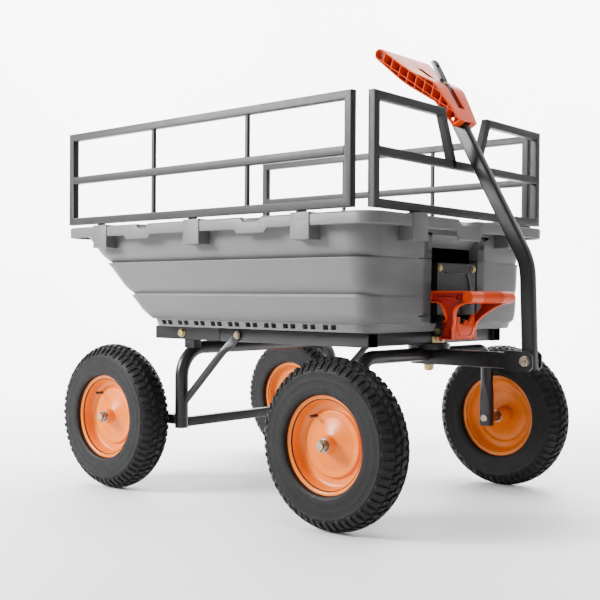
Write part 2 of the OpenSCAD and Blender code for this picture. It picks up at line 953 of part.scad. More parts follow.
module tow_grip() {
    color(grip_orange) place() upper_frame() difference() {
        grip_solid(0, 0);
        // side pockets, open outwards on both sides
        both_sides() intersection() {
            grip_solid(-grip_wall, 1);
            translate([-150, -150, grip_u]) cube([300, 150 - 24, 260]);
        }
        // slot for the pole, open at the back, and at the front where the hitch plate is
        translate([-120, -pole_w / 2 - clear, grip_u - 20])
            cube([120 + pole_d / 2 + clear, pole_w + 2 * clear, 240]);
        translate([0, -pole_w / 2 - clear, grip_u + 42])
            cube([100, pole_w + 2 * clear, 178]);
        // room for the grip to swing past the pole's front face below the pin
        translate([0, -pole_w / 2 - clear, grip_u - 20])
            cube([pole_d / 2 + 5.6, pole_w + 2 * clear, 38]);
        rod_y(grip_pin_v, grip_pin_u, grip_pin_r + run_fit, -60, 60);
    }
}

/* ---- Wheels ---- */

hub_r = 20;
hub_bore = 17;
hub_half = 36;
flange_w = 33;
rim_t = 3;

module wheel_at(x) {
    translate([x, -wheel_y, axle_z]) rotate([90, 0, 0]) children();
}

// Section of the tyre, or of the air space in it when g is the wall's thickness
module tyre_section(g) {
    seat = rim_r + clear + g;
    intersection() {
        translate([tyre_r - 56, 0]) circle(r = 56 - g);
        translate([seat, -tyre_w / 2 + g]) square([tyre_r - seat, tyre_w - 2 * g]);
    }
    // beads on their seat between the rim's flanges
    translate([102 + clear - g / 10, -flange_w + rim_t + clear + g])
        square([rim_r - 98, 2 * (flange_w - rim_t - clear - g)]);
}

module tyre_shape() {
    rotate_extrude($fn = 96) difference() {
        tyre_section(0);
        tyre_section(7);
    }
}

module rim_shape() {
    rotate_extrude($fn = 96) union() {
        for (s = [-1, 1]) {
            // flange, bead seat and the slope down to the disc
            translate([100, s > 0 ? flange_w - rim_t : -flange_w])
                square([rim_r - 100, rim_t]);
            translate([99, s > 0 ? 8 : -flange_w]) square([3, flange_w - 8]);
        }
        translate([86, -10]) square([16, rim_t]);
        translate([86, 7]) square([16, rim_t]);
        translate([84, -10]) square([rim_t, 20]);
        // dished disc between the barrel and the hub
        polygon([[hub_r - 1, -4], [50, -4], [86, 4], [86, 7], [50, -1], [hub_r - 1, -1]]);
        translate([hub_bore, -hub_half]) square([hub_r - hub_bore, 2 * hub_half]);
    }
}

module bearing_pair() {
    for (w = [-hub_half, hub_half - 12])
        translate([0, 0, w]) difference() {
            cylinder(r = hub_bore, h = 12);
            translate([0, 0, -1]) cylinder(r = spindle_d / 2 + run_fit, h = 14);
        }
}

module valve_shape() {
    rotate([0, 0, 128]) translate([78, 0, 6.2]) cylinder(r = 4, h = 23.4);
}

module tyre_rear_right() { color(rubber) place() wheel_at(rear_x) tyre_shape(); }
module tyre_front_right() { color(rubber) place() wheel_at(axle_x) tyre_shape(); }
module tyre_rear_left() {
    color(rubber) place() mirror([0, 1, 0]) wheel_at(rear_x) tyre_shape();
}
module tyre_front_left() {
    color(rubber) place() mirror([0, 1, 0]) wheel_at(axle_x) tyre_shape();
}
module rim_rear_right() { color(rim_orange) place() wheel_at(rear_x) rim_shape(); }
module rim_front_right() { color(rim_orange) place() wheel_at(axle_x) rim_shape(); }
module rim_rear_left() {
    color(rim_orange) place() mirror([0, 1, 0]) wheel_at(rear_x) rim_shape();
}
module rim_front_left() {
    color(rim_orange) place() mirror([0, 1, 0]) wheel_at(axle_x) rim_shape();
}
module bearings_rear_right() { color(zinc) place() wheel_at(rear_x) bearing_pair(); }
module bearings_front_right() { color(zinc) place() wheel_at(axle_x) bearing_pair(); }
module bearings_rear_left() {
    color(zinc) place() mirror([0, 1, 0]) wheel_at(rear_x) bearing_pair();
}
module bearings_front_left() {
    color(zinc) place() mirror([0, 1, 0]) wheel_at(axle_x) bearing_pair();
}
module valve_rear_right() { color(rubber) place() wheel_at(rear_x) valve_shape(); }
module valve_front_right() { color(rubber) place() wheel_at(axle_x) valve_shape(); }
module valve_rear_left() {
    color(rubber) place() mirror([0, 1, 0]) wheel_at(rear_x) valve_shape();
}
module valve_front_left() {
    color(rubber) place() mirror([0, 1, 0]) wheel_at(axle_x) valve_shape();
}

tub();
fence_left();
fence_right();
fence_front();
channel_left();
channel_right();
bed_straps();
bed_bolts();
latch_bracket();
latch_bolts();
latch_pin();
latch_spring();
latch_handle();
latch_hook();
rail_left();
rail_right();
front_crossmember();
centre_crossmember();
striker_plate();
turntable_upper();
kingpin();
kingpin_nut();
pivot_bolts();
rear_axle_tube();
rear_axle_beam();
rear_arms();
rear_spindles();
rear_braces();
brace_bolts();
rear_axle_nuts();
front_axle_tube();
front_spindles();
front_axle_nuts();
turntable_lower();
tongue();
clevis_plates();
pole_bolt();
pole_spacers();
pole();
hitch_plate();
hitch_clip();
grip_pin();
tow_grip();
tyre_front_left();
tyre_front_right();
tyre_rear_left();
tyre_rear_right();
rim_front_left();
rim_front_right();
rim_rear_left();
rim_rear_right();
bearings_front_left();
bearings_front_right();
bearings_rear_left();
bearings_rear_right();
valve_front_left();
valve_front_right();
valve_rear_left();
valve_rear_right();
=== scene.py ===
"""Looks of the garden dump cart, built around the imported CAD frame.

Every length is in metres. Stations along X are measured from the point midway
between the axles, as in the CAD model, and the helper at() moves them into the
row frame. The main sizes are read from the CAD nodes.
"""

import json
import math

import bmesh
import bpy
from mathutils import Matrix, Vector


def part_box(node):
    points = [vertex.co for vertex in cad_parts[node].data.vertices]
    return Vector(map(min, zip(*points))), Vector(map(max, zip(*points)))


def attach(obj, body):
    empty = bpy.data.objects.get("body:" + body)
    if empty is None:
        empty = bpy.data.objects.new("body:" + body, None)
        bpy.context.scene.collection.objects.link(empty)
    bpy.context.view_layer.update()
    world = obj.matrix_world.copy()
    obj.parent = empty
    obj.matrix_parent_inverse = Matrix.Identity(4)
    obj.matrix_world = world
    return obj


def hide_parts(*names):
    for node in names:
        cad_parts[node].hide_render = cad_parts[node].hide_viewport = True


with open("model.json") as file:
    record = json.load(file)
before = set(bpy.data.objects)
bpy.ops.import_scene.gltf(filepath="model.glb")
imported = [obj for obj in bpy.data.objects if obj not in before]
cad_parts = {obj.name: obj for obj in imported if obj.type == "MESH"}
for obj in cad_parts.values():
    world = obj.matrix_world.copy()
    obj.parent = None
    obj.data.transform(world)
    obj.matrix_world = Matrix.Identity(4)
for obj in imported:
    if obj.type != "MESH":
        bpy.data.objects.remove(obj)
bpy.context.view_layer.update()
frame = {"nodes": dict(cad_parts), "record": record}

# ---------------------------------------------------------------- frame sizes

MM = 0.001
SIDES = {"right": -1, "left": 1}


def mid(node):
    low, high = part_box(node)
    return (low + high) / 2


def size(node):
    low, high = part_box(node)
    return high - low


FRONT_AXLE = mid("tyre_front_right")
REAR_AXLE = mid("tyre_rear_right")
SHIFT = (FRONT_AXLE.x + REAR_AXLE.x) / 2
TYRE_R = size("tyre_front_right").z / 2
TYRE_W = size("tyre_front_right").y
RIM_R = size("rim_front_right").x / 2
HUB_HALF = size("rim_front_right").y / 2


def at(x, y, z):
    """A point given in millimetres from the middle of the wheelbase."""
    return Vector((x * MM + SHIFT, y * MM, z * MM))


# ---------------------------------------------------------------- materials

def new_material(name, color, rough, metal=0.0):
    """A material with its node tree, its shader and a short-hand for wiring."""
    mat = bpy.data.materials.new(name)
    mat.use_nodes = True
    tree = mat.node_tree
    shader = tree.nodes["Principled BSDF"]
    shader.inputs["Base Color"].default_value = (*color, 1)
    shader.inputs["Roughness"].default_value = rough
    shader.inputs["Metallic"].default_value = metal
    return mat, tree, shader


def noise(tree, scale, detail=3.0, rough=0.5, stretch=None):
    """A noise texture in object space, optionally stretched."""
    coords = tree.nodes.new("ShaderNodeTexCoord")
    tex = tree.nodes.new("ShaderNodeTexNoise")
    tex.inputs["Scale"].default_value = scale
    tex.inputs["Detail"].default_value = detail
    tex.inputs["Roughness"].default_value = rough
    if stretch:
        mapping = tree.nodes.new("ShaderNodeMapping")
        mapping.inputs["Scale"].default_value = stretch
        tree.links.new(coords.outputs["Object"], mapping.inputs["Vector"])
        tree.links.new(mapping.outputs["Vector"], tex.inputs["Vector"])
    else:
        tree.links.new(coords.outputs["Object"], tex.inputs["Vector"])
    return tex.outputs["Fac"]


def ramp(tree, source, stops):
    """A colour ramp: stops are (position, colour or grey)."""
    node = tree.nodes.new("ShaderNodeValToRGB")
    tree.links.new(source, node.inputs["Fac"])
    band = node.color_ramp
    while len(band.elements) < len(stops):
        band.elements.new(0.5)
    for element, (pos, value) in zip(band.elements, stops):
        element.position = pos
        color = value if isinstance(value, tuple) else (value, value, value)
        element.color = (*color, 1)
    return node.outputs["Color"]


def bump(tree, shader, source, strength, distance, under=None):
    node = tree.nodes.new("ShaderNodeBump")
    node.inputs["Strength"].default_value = strength
    node.inputs["Distance"].default_value = distance
    tree.links.new(source, node.inputs["Height"])
    if under is not None:
        tree.links.new(under, node.inputs["Normal"])
    tree.links.new(node.outputs["Normal"], shader.inputs["Normal"])
    return node.outputs["Normal"]


def surface(name, dark, light, rough, patch, grain, depth, metal=0.0, gloss=0.5,
            stops=(0.3, 0.7), spots=None, spot_stops=(0.3, 0.7), waves=None):
    """A surface with slow colour patches, uneven roughness and a fine grain.

    patch, spots, grain and waves are what noise() takes after the tree."""
    mat, tree, shader = new_material(name, light, sum(rough) / 2, metal)
    shader.inputs["Specular IOR Level"].default_value = gloss
    color = ramp(tree, noise(tree, *patch), list(zip(stops, (dark, light))))
    tree.links.new(color, shader.inputs["Base Color"])
    uneven = noise(tree, *(spots or (patch[0] * 7, 4.0, 0.6)))
    tree.links.new(ramp(tree, uneven, list(zip(spot_stops, rough))), shader.inputs["Roughness"])
    under = bump(tree, shader, noise(tree, *waves), 0.25, 0.003) if waves else None
    bump(tree, shader, noise(tree, *grain), depth, 0.0006, under)
    return mat


def fine(scale):
    """Noise settings of a fine grain."""
    return scale, 2.0, 0.5


def slow(scale):
    """Noise settings of slow colour patches."""
    return scale, 5.0, 0.6


MATERIALS = {
    "tub_plastic": surface(
        "tub_polyethylene", (0.084, 0.084, 0.087), (0.096, 0.096, 0.099), (0.42, 0.58),
        (5.0, 5.0, 0.65), (1400.0, 2.0, 0.4), 0.12, gloss=0.45, stops=(0.25, 0.75),
        spots=(60.0, 5.0, 0.7, (0.25, 0.25, 1.5)), spot_stops=(0.3, 0.75), waves=(14.0, 2.0, 0.4)),
    "tyre_rubber": surface(
        "tyre_rubber", (0.004, 0.004, 0.004), (0.008, 0.008, 0.008), (0.5, 0.68), slow(18.0),
        (700.0, 3.0, 0.6), 0.15, gloss=0.2, stops=(0.3, 0.75), spots=(160.0, 4.0, 0.6)),
    "rim_orange": surface(
        "rim_enamel", (0.68, 0.145, 0.0), (0.76, 0.165, 0.0), (0.26, 0.36), (14.0, 3.0, 0.5),
        fine(420.0), 0.08, gloss=0.28, spots=(90.0, 4.0, 0.6)),
    "fence_paint": surface(
        "fence_powder_coat", (0.018, 0.018, 0.019), (0.024, 0.024, 0.026), (0.4, 0.5),
        slow(7), fine(1300), 0.1, gloss=0.3),
    "black_paint": surface(
        "black_powder_coat", (0.005, 0.005, 0.006), (0.008, 0.008, 0.009), (0.3, 0.38),
        slow(6), fine(1100), 0.03, gloss=0.4),
    "handle_plastic": surface(
        "handle_nylon", (0.58, 0.042, 0.0), (0.66, 0.052, 0.0), (0.36, 0.48),
        slow(22), fine(1500), 0.06, gloss=0.2),
    # a darker copy of the handle nylon for the floors, bosses and ribs of the handle recesses:
    # painted shade
    "handle_pocket_shade": surface(
        "handle_nylon_painted_shade", (0.30, 0.006, 0.002), (0.38, 0.009, 0.002), (0.4, 0.55),
        slow(22), fine(1500), 0.12),
    "zinc_steel": surface(
        "yellow_zinc", (0.44, 0.33, 0.14), (0.60, 0.47, 0.24), (0.22, 0.4),
        slow(60), fine(1500), 0.1, metal=1.0),
    "dark_zinc_steel": surface(
        "worn_zinc", (0.2, 0.16, 0.12), (0.42, 0.36, 0.29), (0.25, 0.45),
        slow(60), fine(1500), 0.1, metal=1.0),
    "bearing_steel": surface(
        "bearing_steel", (0.32, 0.32, 0.33), (0.5, 0.5, 0.52), (0.2, 0.36),
        slow(60), fine(1800), 0.06, metal=1.0),
    "valve_rubber": surface(
        "valve_rubber", (0.012, 0.012, 0.012), (0.02, 0.02, 0.02), (0.45, 0.6),
        slow(70), fine(1500), 0.1),
}
SLOT_OF = {s["node"]: s["material_slot"] for s in frame["record"]["subparts"]}
for node_name, cad in frame["nodes"].items():
    cad.data.materials.clear()
    cad.data.materials.append(MATERIALS[SLOT_OF[node_name]])

# ---------------------------------------------------------------- stage

def floor():
    mat, tree, shader = new_material("floor_paint", (0.85, 0.85, 0.85), 0.6)
    color = ramp(tree, noise(tree, 2.0, 3.0), [(0.3, 0.83), (0.7, 0.86)])
    tree.links.new(color, shader.inputs["Base Color"])
    mesh = bpy.data.meshes.new("floor")
    reach = 14.0
    drop = -0.0005
    bend, rise = 5.5, 7.0
    rows = [(-reach, drop), (bend - 2.5, drop)]
    for i in range(1, 13):
        a = math.radians(90 * i / 12)
        rows.append((bend - 2.5 + 2.5 * math.sin(a), drop + 2.5 * (1 - math.cos(a))))
    rows.append((bend, rise))
    verts, faces = [], []
    turn = Matrix.Rotation(CAM_AZ, 4, "Z")
    for far, up in rows:
        for across in (-reach, reach):
            verts.append(turn @ Vector((across, far, up)))
    for i in range(len(rows) - 1):
        faces.append((2 * i, 2 * i + 1, 2 * i + 3, 2 * i + 2))
    mesh.from_pydata(verts, [], faces)
    for poly in mesh.polygons:
        poly.use_smooth = True
    obj = bpy.data.objects.new("floor", mesh)
    obj.data.materials.append(mat)
    bpy.context.scene.collection.objects.link(obj)


def area_light(name, place, target, power, width, height):
    data = bpy.data.lights.new(name, "AREA")
    data.shape = "RECTANGLE"
    data.size = width
    data.size_y = height
    data.energy = power
    obj = bpy.data.objects.new(name, data)
    obj.location = place
    obj.rotation_euler = (Vector(target) - Vector(place)).to_track_quat("-Z", "Y").to_euler()
    bpy.context.scene.collection.objects.link(obj)


CAM_AZ = math.radians(39.89)
CAM_DOWN = math.radians(0.67)
CAM_ROLL = math.radians(0.39)


def camera():
    """A camera at the photograph's angle, seen from the towing end's right."""
    data = bpy.data.cameras.new("camera")
    data.sensor_width = 36
    data.lens = 59.51
    data.shift_x = -0.0453
    data.shift_y = 0.0125
    obj = bpy.data.objects.new("camera", data)
    ahead = Vector((-math.sin(CAM_AZ) * math.cos(CAM_DOWN),
                    math.cos(CAM_AZ) * math.cos(CAM_DOWN), -math.sin(CAM_DOWN)))
    right = Vector((math.cos(CAM_AZ), math.sin(CAM_AZ), 0))
    up = right.cross(ahead)
    cam_x = right * math.cos(CAM_ROLL) + up * math.sin(CAM_ROLL)
    cam_y = up * math.cos(CAM_ROLL) - right * math.sin(CAM_ROLL)
    basis = Matrix((cam_x, cam_y, -ahead)).transposed()
    obj.matrix_world = Matrix.Translation(at(1834.3, -2128.8, 537.9)) @ basis.to_4x4()
    bpy.context.scene.collection.objects.link(obj)
    bpy.context.scene.camera = obj


def studio():
    world = bpy.data.worlds.new("studio")
    world.use_nodes = True
    back = world.node_tree.nodes["Background"]
    back.inputs["Color"].default_value = (1, 1, 1, 1)
    back.inputs["Strength"].default_value = 0.36
    bpy.context.scene.world = world
    # soft boxes on the near side, over the cart and behind it, a weak strip at the
    # towing end, and two boxes that light the wall
    area_light("side_box", (-2.2, -3.3, 2.3), (0, 0, 0.45), 500, 1.6, 1.3)
    area_light("top_box", (0.0, 0.3, 4.4), (0, 0, 0), 300, 3.4, 3.4)
    area_light("front_strip", (4.2, -1.6, 1.6), (0.5, 0, 0.6), 16, 0.4, 2.4)
    area_light("back_box", (-2.2, 3.8, 2.6), (0, 0, 0.6), 100, 2.4, 1.6)
    wall = Matrix.Rotation(CAM_AZ, 4, "Z")
    for across in (-2.6, 2.6):
        area_light("wall_box_p3" if across > 0 else "wall_box_n3",
                   wall @ Vector((across, 2.4, 4.2)), wall @ Vector((across, 5.6, 1.6)),
                   1050, 3.0, 1.0)



# ---------------------------------------------------------------- mesh helpers
# Points are vectors in metres; widths, radii and heights are millimetres, but
# loft, loop and lathe take metres throughout.

Y_DIR = Vector((0, 1, 0))

def piece(name, shape, slot, body, replaced=(), crease=32, bevel=0.0, look=None):
    """Makes a mesh object, gives it its material, and ties it to its body."""
    mesh = bpy.data.meshes.new(name)
    mesh.from_pydata([tuple(v) for v in shape.verts], [], shape.faces)
    mesh.validate()
    bm = bmesh.new()
    bm.from_mesh(mesh)
    bmesh.ops.remove_doubles(bm, verts=bm.verts, dist=1e-6)
    bmesh.ops.recalc_face_normals(bm, faces=bm.faces)
    bm.to_mesh(mesh)
    bm.free()
    for poly in mesh.polygons:
        poly.use_smooth = True
    mesh.set_sharp_from_angle(angle=math.radians(crease))
    obj = bpy.data.objects.new(name, mesh)
    obj.data.materials.append(MATERIALS[look or slot])
    bpy.context.scene.collection.objects.link(obj)
    if bevel:
        mod = obj.modifiers.new("rounded_edges", "BEVEL")
        mod.width = bevel * MM
        mod.segments = 2
        mod.limit_method = "ANGLE"
        mod.angle_limit = math.radians(38)
    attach(obj, body)
    if replaced:
        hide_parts(*replaced)
    return obj


class Shape:
    """Collects vertices and faces of several simple solids for one piece."""

    def __init__(self):
        self.verts = []
        self.faces = []

    def add(self, verts, faces):
        base = len(self.verts)
        self.verts.extend(Vector(v) for v in verts)
        self.faces.extend([tuple(i + base for i in f) for f in faces])


def loft(shape, rings, caps=True):
    """A skin over rings of the same number of points, with flat ends if caps is set."""
    around, count = len(rings[0]), len(rings)
    faces = [(i * around + j, i * around + (j + 1) % around,
              (i + 1) * around + (j + 1) % around, (i + 1) * around + j)
             for i in range(count - 1) for j in range(around)]
    if caps:
        faces += [tuple(range(around)), tuple(range((count - 1) * around, count * around))]
    shape.add([p for ring in rings for p in ring], faces)


def loop(shape, rings):
    """A closed skin: the last ring is joined to the first."""
    loft(shape, list(rings) + [rings[0]], caps=False)


def rounded_rect(width, height, radius, steps=3):
    """Outline of a rectangle with round corners, anticlockwise."""
    radius = min(radius, width / 2 - 1e-6, height / 2 - 1e-6)
    points = []
    for cx, cy, start in ((1, 1, 0), (-1, 1, 90), (-1, -1, 180), (1, -1, 270)):
        for i in range(steps + 1):
            a = math.radians(start + 90 * i / steps)
            points.append((cx * (width / 2 - radius) + radius * math.cos(a),
                           cy * (height / 2 - radius) + radius * math.sin(a)))
    return points


def circle(radius, steps=24, start=0.0):
    return [(radius * math.cos(start + math.tau * i / steps),
             radius * math.sin(start + math.tau * i / steps)) for i in range(steps)]


def sweep(shape, path, section, side, closed=False):
    """A section in millimetres swept along a path in the plane normal to side.

    Corners are mitred. The section's first axis lies in that plane and its
    second axis lies along side."""
    side = Vector(side).normalized()
    path = [Vector(p) for p in path]
    rings = []
    count = len(path)
    for i, p in enumerate(path):
        before = path[i] - path[i - 1] if (i > 0 or closed) else path[1] - path[0]
        after = path[(i + 1) % count] - path[i] if (i < count - 1 or closed) else before
        n0 = before.normalized().cross(side)
        n1 = after.normalized().cross(side)
        bisector = (n0 + n1).normalized()
        stretch = 1 / max(0.3, bisector.dot(n0))
        rings.append([p + bisector * (u * stretch * MM) + side * (v * MM) for u, v in section])
    if closed:
        loop(shape, rings)
    else:
        loft(shape, rings)


def bar(shape, a, b, width, height, radius, side):
    """A straight bar with a rounded rectangular section; height lies along side."""
    sweep(shape, [a, b], rounded_rect(width, height, radius), side)


def directions(along):
    """A direction, made one long, and two more across it."""
    along = Vector(along).normalized()
    u = along.orthogonal().normalized()
    return along, u, along.cross(u)


def rod(shape, a, b, radius, steps=24, chamfer=0.0):
    """A round rod between two points, with optional chamfered ends."""
    along, u, w = directions(b - a)
    stops = [(a, radius), (b, radius)]
    if chamfer:
        step = along * (chamfer * MM)
        stops = [(a, radius - chamfer), (a + step, radius), (b - step, radius),
                 (b, radius - chamfer)]
    loft(shape, [[p + u * x + w * y for x, y in circle(r * MM, steps)] for p, r in stops])


def lathe(shape, profile, centre, steps=96):
    """Turns a closed section of (radius, offset) points round an axis along Y."""
    rings = []
    for i in range(steps):
        a = math.tau * i / steps
        rings.append([Vector(centre) + Vector((r * math.cos(a), w, r * math.sin(a)))
                      for r, w in profile])
    around = len(profile)
    faces = [(i * around + j, i * around + (j + 1) % around,
              (i + 1) % steps * around + (j + 1) % around, (i + 1) % steps * around + j)
             for i in range(steps) for j in range(around)]
    shape.add([p for ring in rings for p in ring], faces)


def arc(cx, cy, radius, start, end, steps=8):
    """Points of an arc, angles in degrees."""
    return [(cx + radius * math.cos(math.radians(start + (end - start) * i / steps)),
             cy + radius * math.sin(math.radians(start + (end - start) * i / steps)))
            for i in range(steps + 1)]


def inset(line, amount, limit):
    """A flat outline moved sideways by an amount, mitred at its corners up to a limit."""
    out = []
    for i, (x, z) in enumerate(line):
        a, b = line[i - 1], line[(i + 1) % len(line)]
        e0 = Vector((x - a[0], z - a[1])).normalized()
        e1 = Vector((b[0] - x, b[1] - z)).normalized()
        n = Vector((e0.y + e1.y, -(e0.x + e1.x))).normalized()
        k = amount / max(limit, n.dot(Vector((e0.y, -e0.x))))
        out.append((x + n.x * k, z + n.y * k))
    return out


def smooth_path(points, radius, steps=8):
    """Rounds the corners of a path of vectors with arcs of the given radius."""
    points = [Vector(p) for p in points]
    out = [points[0]]
    for before, corner, after in zip(points, points[1:], points[2:]):
        d0 = (before - corner).normalized()
        d1 = (after - corner).normalized()
        half = d0.angle(d1) / 2
        cut = min(radius * MM / math.tan(half), (before - corner).length * 0.49,
                  (after - corner).length * 0.49)
        centre = corner + (d0 + d1).normalized() * (cut / math.cos(half))
        start, end = corner + d0 * cut - centre, corner + d1 * cut - centre
        for i in range(steps + 1):
            t = i / steps
            spin = start.slerp(end, t) if start.length > 1e-9 else start
            out.append(centre + spin.normalized() * start.length)
    out.append(points[-1])
    return out


def hex_head(shape, base, direction, across, height):
    """A hexagon head with a rounded crown, standing on base along direction."""
    along, u, w = directions(direction)
    rings = []
    for h, scale in ((0, 1.0), (height * 0.78, 1.0), (height, 0.86)):
        rings.append([base + (along * h + (u * x + w * y) * scale) * MM
                      for x, y in circle(across / math.sqrt(3), 6, math.pi / 6)])
    loft(shape, rings)


# ---------------------------------------------------------------- wheels

TREAD_TURNS = 58
SECTION_R = 56 * MM
TREAD_DEPTH = 4.2 * MM


def tyre_point(turn, tilt, lift, centre):
    """A point on the tyre's round section: turn round the axle, tilt from the
    middle of the tread towards the sidewall, lift above the carcass."""
    r = TYRE_R - SECTION_R + (SECTION_R - TREAD_DEPTH + lift) * math.cos(tilt)
    w = (SECTION_R - TREAD_DEPTH + lift) * math.sin(tilt)
    w = max(-TYRE_W / 2, min(TYRE_W / 2, w * 0.98))
    return centre + Vector((r * math.cos(turn), w, r * math.sin(turn)))


def tread_block(shape, centre, turn, half_turn, tilt0, tilt1, lift, skew=0.0):
    """A rubber block that stands on the carcass and narrows towards its top."""
    rings = []
    for height, shrink in ((-1.5 * MM, 1.0), (lift * 0.9, 0.92), (lift, 0.80)):
        ring = []
        mid_tilt, span = (tilt0 + tilt1) / 2, (tilt1 - tilt0) / 2
        for a, b in ((-1, -1), (-1, 0), (-1, 1), (1, 1), (1, 0), (1, -1)):
            tilt = mid_tilt + b * span * shrink
            ring.append(tyre_point(turn + half_turn * a * shrink + skew * b, tilt, height, centre))
        rings.append(ring)
    loft(shape, rings)


def tyre(end, side):
    name = f"{end}_{side}"
    centre = mid(f"tyre_{name}")
    shape = Shape()
    seat = RIM_R - 11 * MM
    section = []
    for i in range(-44, 45):
        tilt = math.radians(i * 3.0)
        p = tyre_point(0, tilt, 0, Vector((0, 0, 0)))
        ring_lift = 0.0
        for ridge in (66, 84, 104):
            ring_lift += 0.9 * MM * math.exp(-((abs(i * 3.0) - ridge) / 1.6) ** 2)
        if p.x > RIM_R + 0.5 * MM:
            section.append((p.x + ring_lift * math.cos(tilt), p.y + ring_lift * math.sin(tilt)))
    bead = 29.5 * MM
    section += [(RIM_R + 1 * MM, bead + 5 * MM), (RIM_R - 2 * MM, bead), (seat, bead),
                (seat, -bead), (RIM_R - 2 * MM, -bead), (RIM_R + 1 * MM, -bead - 5 * MM)]
    lathe(shape, section, centre, steps=144)
    pitch = math.tau / TREAD_TURNS
    for i in range(TREAD_TURNS):
        turn = pitch * i
        for s in (-1, 1):
            long_lug = i % 2 == 0
            outer = math.radians(63 if long_lug else 57)
            tread_block(shape, centre, turn, pitch * 0.27, s * math.radians(31), s * outer,
                        TREAD_DEPTH - 0.2 * MM)
            tread_block(shape, centre, turn + pitch * 0.5, pitch * 0.29, s * math.radians(13),
                        s * math.radians(27), TREAD_DEPTH, skew=s * pitch * 0.14)
        tread_block(shape, centre, turn, pitch * 0.33, math.radians(-9), math.radians(9),
                    TREAD_DEPTH, skew=pitch * 0.12 * (1 if i % 2 else -1))
    piece(f"{name}_tyre", shape, "tyre_rubber", f"wheel_{name}", [f"tyre_{name}"], crease=40)


def rim(end, side):
    name = f"{end}_{side}"
    centre = mid(f"rim_{name}")
    out = SIDES[side]
    shape = Shape()
    face = [(106.5, 29.9), (113, 30), (114.5, 31.2), (113.6, 32.8), (111, 32.9),
            (107.2, 31.6), (104, 27.5), (102.2, 21), (101.4, 12), (100.2, 4), (96, 0.5),
            (88, -0.5), (81, -1.5), (78.5, 0), (77.2, 3.6), (75.2, 5.4), (72.5, 5.2), (67, 3.4),
            (62, 2.8), (60, 3.3), (52, 5.4), (42, 8.8), (32, 12.6), (24, 15.6), (20.6, 17.2),
            (19.6, 19.5), (19.5, 33.5), (18.6, 34.9), (17.2, 35)]
    back = [(17.1, -35), (18.6, -34.9), (19.5, -33.5), (19.5, -18), (20.6, -15.6), (24, 12.0),
            (32, 9.6), (42, 6.0), (52, 2.4), (60, 0.3), (66, 0.2), (72, 1.6), (74, 0.6),
            (75.6, -2.5), (80, -4.6), (88, -4.4), (92, -6), (98, -12), (99.2, -22),
            (103, -27.5), (108.5, -29.6), (112, -30), (114.2, -30.4), (114.4, -32),
            (113, -32.6)]
    seat = [(114.5, -31), (113, -29.9), (104.5, -29.8), (103.2, -26), (103.2, 26), (104.5, 28.4)]
    # one closed section: outer face, hub bore, inner face, bead seat
    section = [(r * MM, w * MM * out) for r, w in face + back + seat]
    lathe(shape, section, centre, steps=128)
    piece(f"{name}_rim", shape, "rim_orange", f"wheel_{name}", [f"rim_{name}"], crease=50)


def bearing(end, side):
    name = f"{end}_{side}"
    centre = mid(f"rim_{name}")
    shape = Shape()
    for s in (-1, 1):
        w = s * HUB_HALF
        profile = [(16.9, -9), (16.9, -0.6), (16.3, -0.1), (14.6, -0.1), (14.2, -0.7),
                   (12.7, -0.7), (12.3, -0.1), (10.6, -0.1), (10.1, -0.5), (10.1, -9)]
        lathe(shape, [(r * MM, w + s * d * MM) for r, d in profile], centre, steps=48)
    piece(f"{name}_bearings", shape, "bearing_steel", f"wheel_{name}", [f"bearings_{name}"])


def valve(end, side):
    name = f"{end}_{side}"
    low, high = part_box(f"valve_{name}")
    out = SIDES[side]
    inner = Vector(((low.x + high.x) / 2, low.y if out > 0 else high.y, (low.z + high.z) / 2))
    shape = Shape()
    length = high.y - low.y
    along, u, w = directions((0, out, 0))
    rings = []
    for t, r in ((0, 4.0), (0.3, 4.0), (0.36, 3.2), (0.62, 3.2), (0.64, 3.6), (0.96, 3.6),
                 (1, 3.0)):
        rings.append([inner + along * (t * length) + u * x + w * y for x, y in circle(r * MM, 20)])
    loft(shape, rings)
    piece(f"{name}_valve", shape, "valve_rubber", f"wheel_{name}", [f"valve_{name}"])


for wheel_end in ("front", "rear"):
    for wheel_side in SIDES:
        tyre(wheel_end, wheel_side)
        rim(wheel_end, wheel_side)
        bearing(wheel_end, wheel_side)
        valve(wheel_end, wheel_side)

# ---------------------------------------------------------------- tub

TUB_LOW, TUB_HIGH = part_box("tub")
RIM_BACK = (TUB_LOW.x - SHIFT) / MM - 22          # stations in millimetres
RIM_FRONT = (TUB_HIGH.x - SHIFT) / MM - 3
RIM_HALF = TUB_HIGH.y / MM - 3
RIM_Z = TUB_HIGH.z / MM - 3
LIP_Z = RIM_Z - 29
BASE_Z = TUB_LOW.z / MM
WALL_TOP, WALL_LOW = 702.0, 475.0
POCKETS_X = (-437, -62, 309)
POCKETS_Y = (-218, 218)
NOTCHES_X = ((-283, -235, -336, -223), (114, 182, 90, 204))   # notch and dip ends
FRONT_NOTCH, FRONT_DIP = 49, 62
RECESS_HALF, RECESS_DEPTH, RECESS_TOP = 105, 25, 684
SLOT_PITCH, SLOT_WIDTH, SLOT_START = 66.0, 17.0, 4.0


def blend_to(x, a, b):
    """0 below a, 1 above b, smooth between."""
    t = min(1.0, max(0.0, (x - a) / (b - a)))
    return t * t * (3 - 2 * t)


def wall_outline(z):
    """Back, front, half width and corner radius of the wall at a height."""
    t = (z - WALL_LOW) / (WALL_TOP - WALL_LOW)
    back = -328 - 249 * t
    front = 473 + 4 * t
    half = 346 + 25 * t
    radius = 48 + 22 * t
    return back, front, half, radius


def band_offset(z):
    """How far the wall stands out: three bands that curve in above each step."""
    offset = 0.0
    for step, depth in ((628.0, 13.0), (538.0, 13.0), (WALL_LOW, 9.0)):
        above = z - step
        if above >= 0:
            offset -= depth * (1 - min(1.0, above / 26)) ** 1.7
            break
    return offset


